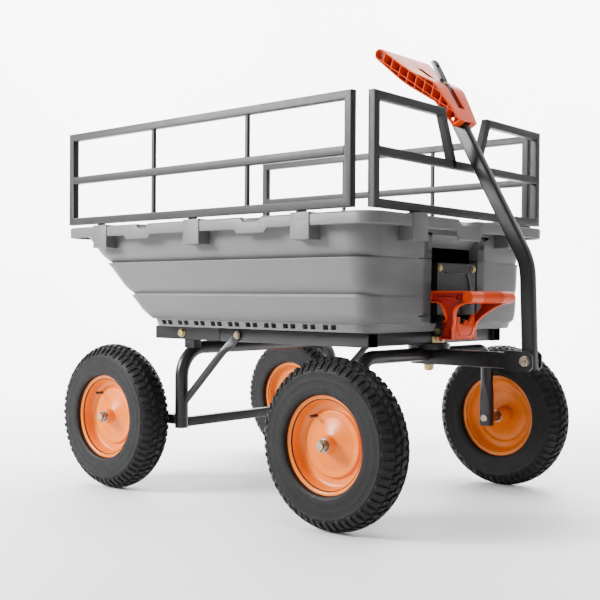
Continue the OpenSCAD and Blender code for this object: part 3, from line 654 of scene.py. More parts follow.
SIDE_POINTS = sorted(set(
    [p for n in NOTCHES_X for p in (n[2], n[2] + 12, n[0], n[0] + 10, n[1] - 10, n[1],
                                    n[3] - 12, n[3])]))
LIP_STRAIGHT = (RIM_BACK + 50, RIM_FRONT - 50)


def side_fractions():
    """Where the outline's points stand along a side, from 0 at the back to 1."""
    low, high = LIP_STRAIGHT
    marks = [(x - low) / (high - low) for x in SIDE_POINTS]
    back, front, half, radius = wall_outline(BASE_Z + 12)
    start, end = back + radius, front - radius
    x = start + SLOT_START
    while x + 2 * SLOT_WIDTH + 10 < end:
        for edge in (0, 1.2, SLOT_WIDTH - 1.2, SLOT_WIDTH):
            for pair in (0, SLOT_WIDTH + 8):
                marks.append((x + edge + pair - start) / (end - start))
        x += SLOT_PITCH
    marks += [0.0, 0.5, 1.0]
    marks = sorted(m for m in marks if 0 <= m <= 1)
    kept = [marks[0]]
    for m in marks[1:]:
        if m - kept[-1] > 0.0009:
            kept.append(m)
    kept[-1] = 1.0
    return kept


SIDE_AT = side_fractions()
FRONT_AT = [-300, -270, -230, -180, -140, -RECESS_HALF - 2, -RECESS_HALF, -RECESS_HALF + 6, -80,
            -FRONT_DIP, -FRONT_NOTCH, -FRONT_NOTCH + 14, 0]
FRONT_AT = FRONT_AT + [-y for y in reversed(FRONT_AT[:-1])]
CORNER_STEPS = 12


def outline(back, front, half, radius):
    """Points round the tub, anticlockwise from the back right corner.

    Each comes with a tag: (place, number along that place)."""
    points = []

    def corner(cx, cy, start):
        for i in range(1, CORNER_STEPS):
            a = math.radians(start + 90 * i / CORNER_STEPS)
            points.append((cx + radius * math.cos(a), cy + radius * math.sin(a),
                           ("corner", i if start in (-90, 180) else CORNER_STEPS - i, start)))

    x0, x1 = back + radius, front - radius
    for f in SIDE_AT:
        points.append((x0 + (x1 - x0) * f, -half, ("side", f, -1)))
    corner(x1, -half + radius, -90)
    room = half - radius
    for y in FRONT_AT:
        points.append((front, y if abs(y) < 250 else y * room / 300, ("front", y, 1)))
    corner(x1, half - radius, 0)
    for f in reversed(SIDE_AT):
        points.append((x0 + (x1 - x0) * f, half, ("side", f, 1)))
    corner(x0, half - radius, 90)
    for i in range(9):
        points.append((back, room * (1 - i / 4), ("back", i, 0)))
    corner(x0, -half + radius, 180)
    return points


def shifted(points, offset_of):
    """Moves each outline point along its outward normal."""
    out = []
    count = len(points)
    for i, (x, y, tag) in enumerate(points):
        before, after = points[i - 1], points[(i + 1) % count]
        tx, ty = after[0] - before[0], after[1] - before[1]
        length = math.hypot(tx, ty) or 1.0
        d = offset_of(tag)
        out.append((x + ty / length * d, y - tx / length * d, tag))
    return out


def fade(tag):
    """The bands fade out on the front wall and are full everywhere else."""
    place = tag[0]
    if place == "front":
        return 0.25 * blend_to(abs(tag[1]), 150, 300)
    if place == "corner" and tag[2] in (-90, 0):
        return 1.0 - 0.75 * blend_to(tag[1] / CORNER_STEPS, 0.2, 1.0)
    return 1.0


def wall_ring(z, offset, recess=True, lift=None):
    back, front, half, radius = wall_outline(z)
    ring = []
    for x, y, tag in shifted(outline(back, front, half, radius), lambda t: offset * fade(t)):
        if recess and tag[0] == "front" and abs(tag[1]) <= RECESS_HALF and z < RECESS_TOP:
            x -= RECESS_DEPTH + (475 - front) * -1
        ring.append(at(x, y, z if lift is None else lift))
    return ring


def along_lip(tag, first, last, ease, half):
    """1 at the lip's features, 0 between them, eased at their ends along the sides."""
    if tag[0] == "side":
        x = LIP_STRAIGHT[0] + (LIP_STRAIGHT[1] - LIP_STRAIGHT[0]) * tag[1]
        return max(blend_to(x, n[first] - 1, n[first] + ease)
                   - blend_to(x, n[last] - ease, n[last] + 1) for n in NOTCHES_X)
    return 1.0 if tag[0] == "front" and abs(tag[1]) <= half else 0.0


def lip_ring(inset, top=None, bottom=None):
    """A ring on the lip. top or bottom is the distance below the rim or above the lip's edge."""
    ring = []
    points = outline(RIM_BACK + inset, RIM_FRONT - inset, RIM_HALF - inset, 50 - inset * 0.6)
    for x, y, tag in points:
        front_spot = tag[0] == "front"
        if bottom is not None:
            dip = along_lip(tag, 2, 3, 12, FRONT_NOTCH)
            z = LIP_Z + bottom - (22 if front_spot else 11) * dip
        else:
            notch = along_lip(tag, 0, 1, 10, FRONT_NOTCH - 12)
            z = RIM_Z - top - (14 if front_spot else 10) * notch
        ring.append(at(x, y, z))
    return ring


def slot_depth(tag):
    """The base strip's moulded slots, in pairs along both sides."""
    if tag[0] != "side":
        return 0.0
    back, front, half, radius = wall_outline(BASE_Z + 12)
    start, end = back + radius, front - radius
    x = start + (end - start) * tag[1] - start - SLOT_START
    pair_start = math.floor(x / SLOT_PITCH) * SLOT_PITCH + SLOT_START
    if x < -0.1 or pair_start + 2 * SLOT_WIDTH + 10 >= end - start:
        return 0.0
    along = x % SLOT_PITCH
    for first in (0, SLOT_WIDTH + 8):
        if first + 0.6 < along < first + SLOT_WIDTH - 0.6:
            return 1.0
    return 0.0


def strip_ring(z, inset, slots):
    back, front, half, radius = wall_outline(BASE_Z + 12)
    points = outline(back + inset, front - inset, half - inset, radius)
    ring = []
    for x, y, tag in points:
        if slots and slot_depth(tag):
            y -= math.copysign(14, y)
        ring.append(at(x, y, z))
    return ring


def tub():
    rings = [strip_ring(BASE_Z + up, back, slots) for up, back, slots in (
        (0, 16, False), (1, 13, False), (5.5, 12.6, False), (6, 12.4, True), (17, 9.5, True),
        (17.5, 9.2, False), (20, 8.2, False))]
    levels = [WALL_LOW - 1.5]
    for step, top in ((WALL_LOW, 538.0), (538.0, 628.0), (628.0, WALL_TOP)):
        levels += [step + d for d in (0.2, 2, 4.5, 7.5, 11, 15, 20, 26, 34)]
        levels += [top - d for d in (26, 12, 5, 2.2, 0.4)]
    for z in levels:
        near_top = min((t - z for t in (538.0, 628.0) if t >= z), default=99)
        crown = 1.6 * blend_to(12 - near_top, 0, 9) - 1.2 * blend_to(3 - near_top, 0, 3)
        first = z < WALL_LOW
        rings.append(wall_ring(z, -6.5 if first else band_offset(z) + crown))
    # up inside the lip, round its edge, and over the rim
    rings += [lip_ring(back, top, bottom) for back, top, bottom in (
        (6, 7, None), (5, None, 1.5), (3.8, None, 0), (1.2, None, 0), (0, None, 1.6),
        (-0.4, 5, None), (0.6, 2.2, None), (2.2, 0.7, None), (4.5, 0, None), (18, 0, None))]
    # down the inside and along the floor
    rings += [wall_ring(WALL_TOP, offset, False, RIM_Z - drop)
              for offset, drop in ((4, 0.2), (-1, 1.6), (-4, 6))]
    for z in (690, 660, 640, 630, 622, 600, 560, 545, 534, 520, 490, 482):
        rings.append(wall_ring(z, band_offset(z) * 0.8 - 5.5, True))
    rings.append(wall_ring(WALL_LOW, -14, True))
    rings.append(wall_ring(WALL_LOW, -26, True, 469))
    rings.append(wall_ring(WALL_LOW, -46, True, 467.2))
    shape = Shape()
    loft(shape, rings)
    inner_edge = RIM_HALF - 39
    for x in POCKETS_X:
        for s in (-1, 1):
            pocket(shape, at(x, s * (RIM_HALF + 2.6), 0), at(x, s * inner_edge, 0), (1, 0, 0))
    for y in POCKETS_Y:
        pocket(shape, at(RIM_FRONT + 2.6, y, 0), at(RIM_FRONT - 46, y, 0), (0, 1, 0))
    piece("tub_moulding", shape, "tub_plastic", "tub_bed", ["tub"], crease=28)


def pocket(shape, outer, inner, along):
    """A hollow collar under the rim: a tapered box with a slot down its middle."""
    along, across = Vector(along), (inner - outer).normalized()
    depth = (outer - inner).length / MM
    bottom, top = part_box("fence_front")[0].z / MM - 4, RIM_Z + 3

    def ring(half, start, end, radius, z):
        base = (outer + inner) / 2 + across * ((start + end - depth) / 2 * MM)
        return [Vector((base.x, base.y, z * MM)) + (along * u + across * v) * MM
                for u, v in rounded_rect(half * 2, end - start, radius)]

    rings = [ring(17, 5, 12, 1, bottom), ring(28.8, 0.8, depth, 2, bottom),
             ring(30, 0, depth, 2.5, bottom + 1.5), ring(30, 0, depth, 2.5, top - 2),
             ring(29.4, 0.5, depth, 2, top - 0.5), ring(28, 1.8, depth - 1, 2, top),
             ring(17, 5, 12, 1, top)]
    loop(shape, rings)


tub()

# ---------------------------------------------------------------- fences

SQUARE = rounded_rect(20, 20, 2.2)
THIN = rounded_rect(10, 10, 1.4)
FENCE_LOW, FENCE_MID, FENCE_TOP = 746, 863, 986        # tube centre lines
TAB_LOW, TAB_HIGH = 672, 737


def bead(shape, a, b, half, across, radius=0.7):
    """A weld line round a tube, between two points of its plane and to both sides."""
    out = across * (half * MM)
    sweep(shape, [a - out, a + out, b + out, b - out], circle(radius, 8), (b - a).cross(across),
          closed=True)


def mitres(shape, corners, across, half):
    """Weld lines on the diagonal of each corner of a closed frame of 20 mm tube."""
    count = len(corners)
    for i, corner in enumerate(corners):
        one, other = corners[i - 1] - corner, corners[(i + 1) % count] - corner
        into = (one.normalized() + other.normalized()).normalized()
        turn = one.angle(other) / 2
        reach = half * MM / math.sin(turn)
        bead(shape, corner - into * reach * 0.985, corner + into * reach * 0.985, half * 0.99,
             across, 0.45)


def side_fence(side):
    s = SIDES[side]
    y = s * 402
    left, right = -562, 454
    shape = Shape()
    corners = [at(left, y, FENCE_LOW), at(right, y, FENCE_LOW), at(right, y, FENCE_TOP),
               at(left, y, FENCE_TOP)]
    across = Vector((0, 1, 0))
    sweep(shape, corners, SQUARE, across, closed=True)
    mitres(shape, corners, across, 10)
    sweep(shape, [at(left + 9, y, FENCE_MID), at(right - 9, y, FENCE_MID)], SQUARE, across)
    for x in (left + 10, right - 10):
        bead(shape, at(x, y, FENCE_MID - 10), at(x, y, FENCE_MID + 10), 10, across)
    for x in (-212, 135):
        for low, high in ((FENCE_LOW + 9, FENCE_MID - 9), (FENCE_MID + 9, FENCE_TOP - 9)):
            sweep(shape, [at(x, y, low), at(x, y, high)], THIN, across)
            for z in (low + 1, high - 1):
                bead(shape, at(x - 5, y, z), at(x + 5, y, z), 5, across, 0.8)
    for x in POCKETS_X:
        sweep(shape, [at(x, s * 400, TAB_LOW), at(x, s * 400, TAB_HIGH)],
              rounded_rect(30, 5, 1), across)
    piece(f"fence_{side}_panel", shape, "fence_paint", f"{side}_fence", [f"fence_{side}"])


def front_fence():
    x, half = 498, 372
    shape = Shape()
    corners = [at(x, y, z) for y, z in (
        (-half, FENCE_LOW), (half, FENCE_LOW), (half, FENCE_TOP), (105.7, FENCE_TOP),
        (55.7, FENCE_MID), (-55.7, FENCE_MID), (-105.7, FENCE_TOP), (-half, FENCE_TOP))]
    across = Vector((1, 0, 0))
    sweep(shape, corners, SQUARE, across, closed=True)
    mitres(shape, corners, across, 10)
    for s in (-1, 1):
        sweep(shape, [at(x, s * 50, FENCE_MID), at(x, s * (half - 9), FENCE_MID)], SQUARE, across)
        y = s * (half - 10)
        bead(shape, at(x, y, FENCE_MID - 10), at(x, y, FENCE_MID + 10), 10, across)
    for y in POCKETS_Y:
        sweep(shape, [at(x, y, TAB_LOW), at(x, y, TAB_HIGH)], rounded_rect(30, 5, 1), across)
    piece("fence_front_panel", shape, "fence_paint", "front_fence", ["fence_front"])


for fence_side in SIDES:
    side_fence(fence_side)
front_fence()

# ---------------------------------------------------------------- tow pole and grip

LEAN, SLANT = math.radians(2.2), math.radians(28.9)
FOOT = (688.0, 386.0)
BEND = (FOOT[0] - (621 - FOOT[1]) * math.tan(LEAN), 621.0)
GRIP_U = 390.0


def upper(u, v, y):
    """A point by the pole's upper part: u up along it, v out of its front face."""
    return at(BEND[0] - u * math.sin(SLANT) + v * math.cos(SLANT), y,
              BEND[1] + u * math.cos(SLANT) + v * math.sin(SLANT))


U_DIR = Vector((-math.sin(SLANT), 0, math.cos(SLANT)))


def ring_plate(shape, outline, centre, radius, point, low, high):
    """A flat plate with a round hole: outline points are matched to the hole's edge."""
    dense = []
    for (a0, b0), (a1, b1) in zip(outline, outline[1:] + outline[:1]):
        parts = max(1, int(math.hypot(a1 - a0, b1 - b0) / 2.5))
        dense += [(a0 + (a1 - a0) * i / parts, b0 + (b1 - b0) * i / parts) for i in range(parts)]
    hole = []
    for a, b in dense:
        d = math.hypot(a - centre[0], b - centre[1])
        hole.append((centre[0] + (a - centre[0]) * radius / d,
                     centre[1] + (b - centre[1]) * radius / d))
    rings = [[point(a, b, w) for a, b in line]
             for line, w in ((dense, low), (dense, high), (hole, high), (hole, low))]
    loop(shape, rings)


def pole():
    shape = Shape()
    foot = at(FOOT[0] + 20 * math.sin(LEAN), 0, FOOT[1] - 20 * math.cos(LEAN))
    path = smooth_path([foot, at(BEND[0], 0, BEND[1]), upper(522.6, 0, 0)], 150, 20)
    section = rounded_rect(34, 26, 5, 5)
    sweep(shape, path, section, Y_DIR)
    # plug in the top end, and the weld that holds the flat hitch plate
    rings = [[upper(u, b, a) for a, b in rounded_rect(w, h, 4, 5)]
             for u, w, h in ((521, 25, 33), (523, 24, 32), (523.6, 22, 30))]
    loft(shape, rings)
    piece("pole_tube", shape, "black_paint", "tow_pole", ["pole"])
    shape = Shape()
    outline = rounded_rect(64, 26, 6, 8)
    outline = [(u + 555, y) for u, y in outline]
    ring_plate(shape, outline, (569, 0), 5, lambda u, y, v: upper(u, v, y), 9, 17)
    sweep(shape, [upper(523.5, 8.6, -11), upper(523.5, 8.6, 11)], circle(2, 10), U_DIR)
    piece("pole_hitch_plate", shape, "black_paint", "tow_pole", ["hitch_plate"], bevel=0.7)
    shape = Shape()
    path = smooth_path([upper(513, 13.6, -13), upper(513, 18, -13), upper(513, 18, 13),
                        upper(513, 13.6, 13)], 2, 5)
    sweep(shape, path, [(a, b * 1.6) for a, b in circle(1.0, 12)], U_DIR)
    piece("pole_clip", shape, "zinc_steel", "tow_pole", ["hitch_clip"])


def grip_half(u):
    return 40 + 65 * (u - GRIP_U) / 252


def grip_outline():
    """Side outline of the grip as (v, u) points, the front side first."""
    line = [(-2, 0), (12, -0.5), (25, 0), (24, 30), (21.5, 80), (20, 104), (17.5, 116),
            (10, 130), (-14, 166), (-33, 208)]
    line += arc(-65, 252, 15, 31, 204, 12)
    line += [(-67, 208), (-55, 170), (-44, 144), (-30, 117), (-18, 94), (-8, 75), (-4, 38)]
    line = [(v, u + GRIP_U) for v, u in line]
    return line


def clip_line(polygon, origin, direction):
    """Where a straight line runs inside a polygon: the (start, end) parameters."""
    hits = []
    for (ax, ay), (bx, by) in zip(polygon, polygon[1:] + polygon[:1]):
        ex, ey = bx - ax, by - ay
        det = direction[0] * -ey + direction[1] * ex
        if abs(det) < 1e-9:
            continue
        rx, ry = ax - origin[0], ay - origin[1]
        t = (rx * -ey + ry * ex) / det
        k = (direction[0] * ry - direction[1] * rx) / det
        if 0 <= k < 1:
            hits.append(t)
    hits.sort()
    return list(zip(hits[::2], hits[1::2]))


def grip():
    outer, inner = grip_outline(), inset(grip_outline(), -3.6, 0.5)
    shell, deep = Shape(), Shape()
    for s in (-1, 1):
        # the wall round the edge, from the pole slot out to the slanting end
        rings = []
        for (v, u), (vi, ui) in zip(outer, inner):
            rings.append([upper(u, v, s * 13.5), upper(u, v, s * (grip_half(u) - 1.1)),
                          upper(u + (ui - u) * 0.3, v + (vi - v) * 0.3, s * grip_half(u)),
                          upper(u + (ui - u) * 0.8, v + (vi - v) * 0.8, s * grip_half(u)),
                          upper(ui, vi, s * (grip_half(ui) - 0.6)), upper(ui, vi, s * 13.5)])
        loop(shell, rings)
        # ribs that cross in the side pocket
        for angle, pitch, start in ((SLANT - 0.10 + math.pi / 2, 21, 4), (SLANT + 0.16, 25, 12)):
            d = (math.cos(angle), math.sin(angle))
            n = (-d[1], d[0])
            for i in range(-14, 15):
                o = (-20 + n[0] * (start + i * pitch), GRIP_U + 130 + n[1] * (start + i * pitch))
                for t0, t1 in clip_line(inner, o, d):
                    if t1 - t0 < 5:
                        continue
                    ends = [(o[0] + d[0] * t, o[1] + d[1] * t) for t in (t0 - 1, t1 + 1)]
                    rings = []
                    for v, u in ends:
                        out = s * (grip_half(u) - 1.6)
                        rings.append([upper(u + n[1] * w, v + n[0] * w, y)
                                      for w, y in ((-1.3, s * 23), (-0.95, out), (0.95, out),
                                                   (1.3, s * 23))])
                    loft(shell, rings)
        # solid web beside the pole: its outer face is the pocket's floor, drawn in the darker
        # nylon as painted shade
        middle = inset(grip_outline(), -1.5, 0.5)
        loft(deep, [[upper(u, v, s * y) for v, u in middle] for y in (13.6, 24)])
        # round end of the hand bar, with its recess
        rings = []
        for r, back in ((15, 30), (15, 1), (14.2, 0), (12.2, 0), (11.6, 0.8), (11.6, 12)):
            ring = []
            for a, b in circle(r, 36):
                u = GRIP_U + 252 + b
                ring.append(upper(u, -65 + a, s * (grip_half(u) - back)))
            rings.append(ring)
        loft(shell, rings, caps=False)
        # the recess floor at the bar's end, drawn in the darker nylon as painted shade
        ring = [upper(GRIP_U + 252 + b, -65 + a, s * (grip_half(GRIP_U + 252 + b) - 11.5))
                for a, b in circle(12, 36)]
        loft(deep, [ring, [p - Vector((0, s * 2 * MM, 0)) for p in ring]])
    # across the pole slot: closed in front below, and solid above it
    loft(shell, [[upper(u, v, y) for v, u in ((22.9, 390), (24.9, 390), (23.6, 431), (17.6, 431),
                                              (17.6, 410))] for y in (-13.6, 13.6)])
    top = [(v, u) for v, u in outer if u >= GRIP_U + 207]
    loft(shell, [[upper(u, v, y) for v, u in top] for y in (-13.6, 13.6)])
    piece("grip_shell", shell, "handle_plastic", "grip", ["tow_grip"])
    # the pocket floors get the darker nylon: painted shade in the recesses
    piece("grip_pockets", deep, "handle_plastic", "grip", look="handle_pocket_shade")
    shape = Shape()
    rod(shape, upper(406, 6, -36.5), upper(406, 6, 36.5), 4, 24, 0.6)
    piece("grip_cross_pin", shape, "zinc_steel", "tow_pole", ["grip_pin"])


pole()
grip()

# ---------------------------------------------------------------- dump latch

BAR_X, BAR_Z, BAR_R = 576.0, 537.0, 15.0
LATCH_HALF = size("latch_handle").y / 2 / MM


def cheek_reach(z):
    """Distance of the cheek's outer face from the middle of the handle."""
    return 58 + (LATCH_HALF - 58) * blend_to(z, 468, 524)


def latch_handle():
    shell, deep = Shape(), Shape()
    # hand bar with fine ribs round its middle
    profile = [(0.01, -LATCH_HALF + 1), (BAR_R - 1, -LATCH_HALF + 1), (BAR_R, -LATCH_HALF + 2)]
    y = -46.0
    while y <= 46:
        profile += [(BAR_R - 0.7, y), (BAR_R - 0.7, y + 0.9), (BAR_R, y + 1.3), (BAR_R, y + 2.2)]
        y += 3.0
    profile += [(BAR_R, LATCH_HALF - 2), (BAR_R - 1, LATCH_HALF - 1), (0.01, LATCH_HALF - 1)]
    lathe(shell, [(r * MM, w * MM) for r, w in profile], at(BAR_X, 0, BAR_Z), steps=56)
    # side cheeks: a rim round a deep recess
    front = arc(BAR_X, BAR_Z, BAR_R, 90, -90, 12)
    line = [(466, 552), (520, 552)] + front
    line += [(563, 520.5), (550, 516), (538, 509), (527, 499), (518, 488), (510, 474),
             (504.5, 458), (504, 431), (464, 431), (464, 473), (470, 477), (484, 479),
             (490, 486), (496, 500), (499, 511), (496, 519), (488, 523), (466, 523)]
    count = len(line)
    inner = inset(line, 3.4, 0.6)
    for s in (-1, 1):
        rings = []
        for (x, z), (xi, zi) in zip(line, inner):
            y, yi = cheek_reach(z), cheek_reach(zi)
            rings.append([at(x, s * (y - 12), z), at(x, s * (y - 1.2), z),
                          at(x + (xi - x) * 0.3, s * y, z + (zi - z) * 0.3),
                          at(x + (xi - x) * 0.75, s * y, z + (zi - z) * 0.75),
                          at(xi, s * (yi - 0.8), zi), at(xi, s * (yi - 8), zi),
                          at(xi, s * (yi - 12), zi)])
        loop(shell, rings)
        # recess floors drawn in the darker nylon as painted shade
        deep.add([at(xi, s * (cheek_reach(zi) - 8), zi) for xi, zi in inner],
                 [tuple(range(count))])
        deep.add([at(xi, s * (cheek_reach(zi) - 11.5), zi) for xi, zi in inner],
                 [tuple(range(count))])
        # bosses and a rib inside the recess, also drawn in the darker nylon as painted shade
        for x, r in ((548, 8.0), (570, 6.5)):
            rings = []
            for radius, y in ((r, 9), (r, 2.4), (r - 1.6, 2.4), (r - 1.6, 8)):
                rings.append([at(x + a, s * (LATCH_HALF - y), BAR_Z + b)
                              for a, b in circle(radius, 20)])
            loft(deep, rings)
        bar(deep, at(486, s * (LATCH_HALF - 6), 537), at(538, s * (LATCH_HALF - 6), 537),
            2, 5, 0.5, Y_DIR)
    # shield between the cheeks, its top edge curving up into them
    steps = 16
    front_rings, half = [], 50.0
    for i in range(steps + 1):
        t = -1 + 2 * i / steps
        top = 470 + 24 * abs(t) ** 3.2
        push = 3.4 * (1 - t * t) ** 0.5
        y = half * t
        front_rings.append([at(x + dx, y, z) for x, dx, z in (
            (496, 0, 431.3), (500, push * 0.3, 431), (503, push * 0.3, 434),
            (503.4, push * 0.6, 441), (503.4, push, 452), (503, push, top - 9),
            (501.5, push * 0.8, top - 3), (499, push * 0.4, top), (494, 0, top + 0.4),
            (490, 0, top - 2), (490, 0, 452), (494, 0, 436))])
    loft(shell, front_rings)
    # raised border on the shield
    path = [at(505.4, -40, 476), at(506.2, -34, 452), at(505.6, -22, 440), at(505.6, 22, 440),
            at(506.2, 34, 452), at(505.4, 40, 476)]
    sweep(shell, smooth_path(path, 9, 6), circle(1.5, 10), (1, 0, 0))
    # floor of the handle, behind the shield, and the post of the trigger
    loft(shell, [[at(x, y, z) for x, y in ((466, -50), (498, -50), (498, 50), (466, 50))]
                 for z in (431.2, 436)])
    bar(shell, at(496, -22, 462), at(496, -22, 487), 11, 13, 2.5, Y_DIR)
    bar(shell, at(497, 2, 462), at(499, 14, 478), 5, 6, 1, (1, 0, 0))
    piece("latch_handle_shell", shell, "handle_plastic", "latch", ["latch_handle"])
    # the recess floors, bosses and rib get the darker nylon: painted shade
    piece("latch_handle_pockets", deep, "handle_plastic", "latch", look="handle_pocket_shade")


def latch_jaws():
    shape = Shape()
    for y0, y1, x, z in ((-12, 16, 484, 477), (18, 34, 486, 471)):
        loft(shape, [[at(x, y, z - 7), at(x, y, z + 9), at(x - 12, y, z + 11),
                      at(x - 12, y, z - 10)] for y in (y0, y1)])
    piece("latch_jaws", shape, "black_paint", "latch", bevel=0.8)


def latch_bracket():
    shape = Shape()
    plate = [(y * 1.0, z) for y, z in ((-87, 492), (87, 492), (87, 621), (-87, 621))]
    loft(shape, [[at(x, y, z) for y, z in plate] for x in (477, 480)])
    for s in (-1, 1):
        bar(shape, at(450, s * 85.5, 556.5), at(478, s * 85.5, 556.5), 129, 3, 1, Y_DIR)
        ear = [(450, 438), (476, 438), (481, 444), (481, 494), (478, 500), (450, 500)]
        loft(shape, [[at(x, s * y, z) for x, z in ear] for y in (64, 67)])
        rod(shape, at(480, s * 26, 492.8), at(480, s * 26, 522), 2.2, 12, 0.5)
    loft(shape, [[at(x, y, z) for x, y in ((450, -87), (480, -87), (480, 87), (450, 87))]
                 for z in (618, 621)])
    # bent wire stop pressed against the plate
    wire = smooth_path([at(481.2, -52, 598), at(481.2, 46, 598), at(481.2, 62, 560),
                        at(481.2, 44, 525), at(481.2, -52, 525)], 9, 8)
    sweep(shape, wire, circle(2.1, 12), (1, 0, 0))
    piece("latch_bracket_plate", shape, "black_paint", "tub_bed", ["latch_bracket"], bevel=0.8)
    shape = Shape()
    for y in (-77, 77):
        rod(shape, at(446, y, 609), at(483, y, 609), 3, 16)
        lathe_washer = [(8.6 * MM, 0), (8.6 * MM, 1.2 * MM), (3 * MM, 1.2 * MM), (3 * MM, 0)]
        rings = [[at(480, y, 609) + Vector((w, r * math.cos(a), r * math.sin(a)))
                  for a in [math.tau * i / 28 for i in range(28)]] for r, w in lathe_washer]
        loft(shape, rings, caps=False)
        hex_head(shape, at(481.1, y, 609), (1, 0, 0), 12, 3.8)
    piece("latch_plate_bolts", shape, "zinc_steel", "tub_bed", ["latch_bolts"], bevel=0.4)


latch_handle()
latch_jaws()
latch_bracket()

# ---------------------------------------------------------------- chassis

def hollow_bar(shape, a, b, width, height, radius, side, wall):
    """A straight hollow tube, open at both ends; height lies along side."""
    outer = rounded_rect(width, height, radius, 4)
    inner = rounded_rect(width - 2 * wall, height - 2 * wall, max(radius - wall, 0.3), 4)
    tube = Shape()
    for section in (outer, inner):
        sweep(tube, [a, b], section, side)
    n = len(outer)
    rings = [tube.verts[0:n], tube.verts[n:2 * n], tube.verts[3 * n:4 * n],
             tube.verts[2 * n:3 * n]]
    loop(shape, rings)


def blended_tube(shape, stops, side):
    """A tube whose section changes: stops are (point, in-plane half, side half, squareness)."""
    side = Vector(side).normalized()
    rings = []
    for i, (p, a, b, power) in enumerate(stops):
        before = stops[max(i - 1, 0)][0]
        after = stops[min(i + 1, len(stops) - 1)][0]
        across = (after - before).normalized().cross(side).normalized()
        ring = []
        for k in range(32):
            t = math.tau * k / 32
            c, q = math.cos(t), math.sin(t)
            ring.append(p + across * (a * MM * math.copysign(abs(c) ** (2 / power), c))
                        + side * (b * MM * math.copysign(abs(q) ** (2 / power), q)))
        rings.append(ring)
    loft(shape, rings)


def washer(shape, centre, direction, radius, height, bore=3):
    along, u, w = directions(direction)
    rings = []
    for r, h in ((bore, 0), (radius - 0.4, 0), (radius, 0.4),
                 (radius, height - 0.4), (radius - 0.4, height), (bore, height)):
        rings.append([centre + (along * h + (u * x + w * y) * r) * MM for x, y in circle(1, 32)])
    loop(shape, rings)


RAIL_Z, RAIL_Y, PIVOT = 434.25, 282.5, (-209.0, 434.5)
BEAM_Z, KING_X = 434.75, 398
REAR_HOOP_X, REAR_HOOP_Y = -192, 318
HUB_Z, SPINDLE_X, BRACE_BOLT = 200, 397, (8, 434.5)


def rails(side):
    s = SIDES[side]
    shape = Shape()
    y = s * RAIL_Y
    hollow_bar(shape, at(-60, y, RAIL_Z), at(432, y, RAIL_Z), 34.5, 39, 3, Y_DIR, 2)
    nose = [(-58, 420.2), (-58, 448.8)]
    nose += arc(PIVOT[0], PIVOT[1], 14.3, 90, 270, 14)
    loft(shape, [[at(x, y + w, z) for x, z in nose] for w in (-15.8, 15.8)])
    # inner end plate and the weld under the cross beam
    loft(shape, [[at(x, y - 17 + a, 418 + b) for a, b in ((0, 0), (34, 0), (34, 32), (0, 32))]
                 for x in (-56, -54)])
    for x in (376, 422):
        sweep(shape, [at(x, s * 262.5, 419), at(x, s * 262.5, 449)], circle(1.3, 8), Y_DIR)
    piece(f"rail_{side}_tube", shape, "black_paint", "chassis", [f"rail_{side}"], bevel=0.6)
    shape = Shape()
    inner, outer = s * 263, s * 302
    lo, hi = sorted((inner, outer))
    t = 2.5
    outline = [(lo, 417), (lo, 452), (hi, 452), (hi, 417), (hi - t, 417), (hi - t, 452 - t),
               (lo + t, 452 - t), (lo + t, 417)]
    loft(shape, [[at(x, a, z) for a, z in outline] for x in (-319, -62)])
    piece(f"channel_{side}_steel", shape, "black_paint", "tub_bed", [f"channel_{side}"], bevel=0.9)


def cross_beams():
    for name, node, x in (("front_beam_tube", "front_crossmember", 399),
                          ("centre_beam_tube", "centre_crossmember", 65)):
        shape = Shape()
        hollow_bar(shape, at(x, -263, BEAM_Z), at(x, 263, BEAM_Z), 50, 33.5, 3, (0, 0, 1), 2)
        piece(name, shape, "black_paint", "chassis", [node], bevel=0.5)
    for name, node, body, low, high in (
            ("turntable_top", "turntable_upper", "chassis", 413.8, 418),
            ("turntable_base", "turntable_lower", "front_axle", 404, 413.5)):
        shape = Shape()
        washer(shape, at(KING_X, 0, low), (0, 0, 1), 54, (high - low), 8.1)
        piece(name, shape, "black_paint", body, [node])


def hoop_path(x, y, top, low, bend):
    corner = [at(x, -y, low), at(x, -y, top), at(x, y, top), at(x, y, low)]
    return smooth_path(corner, bend, 16)


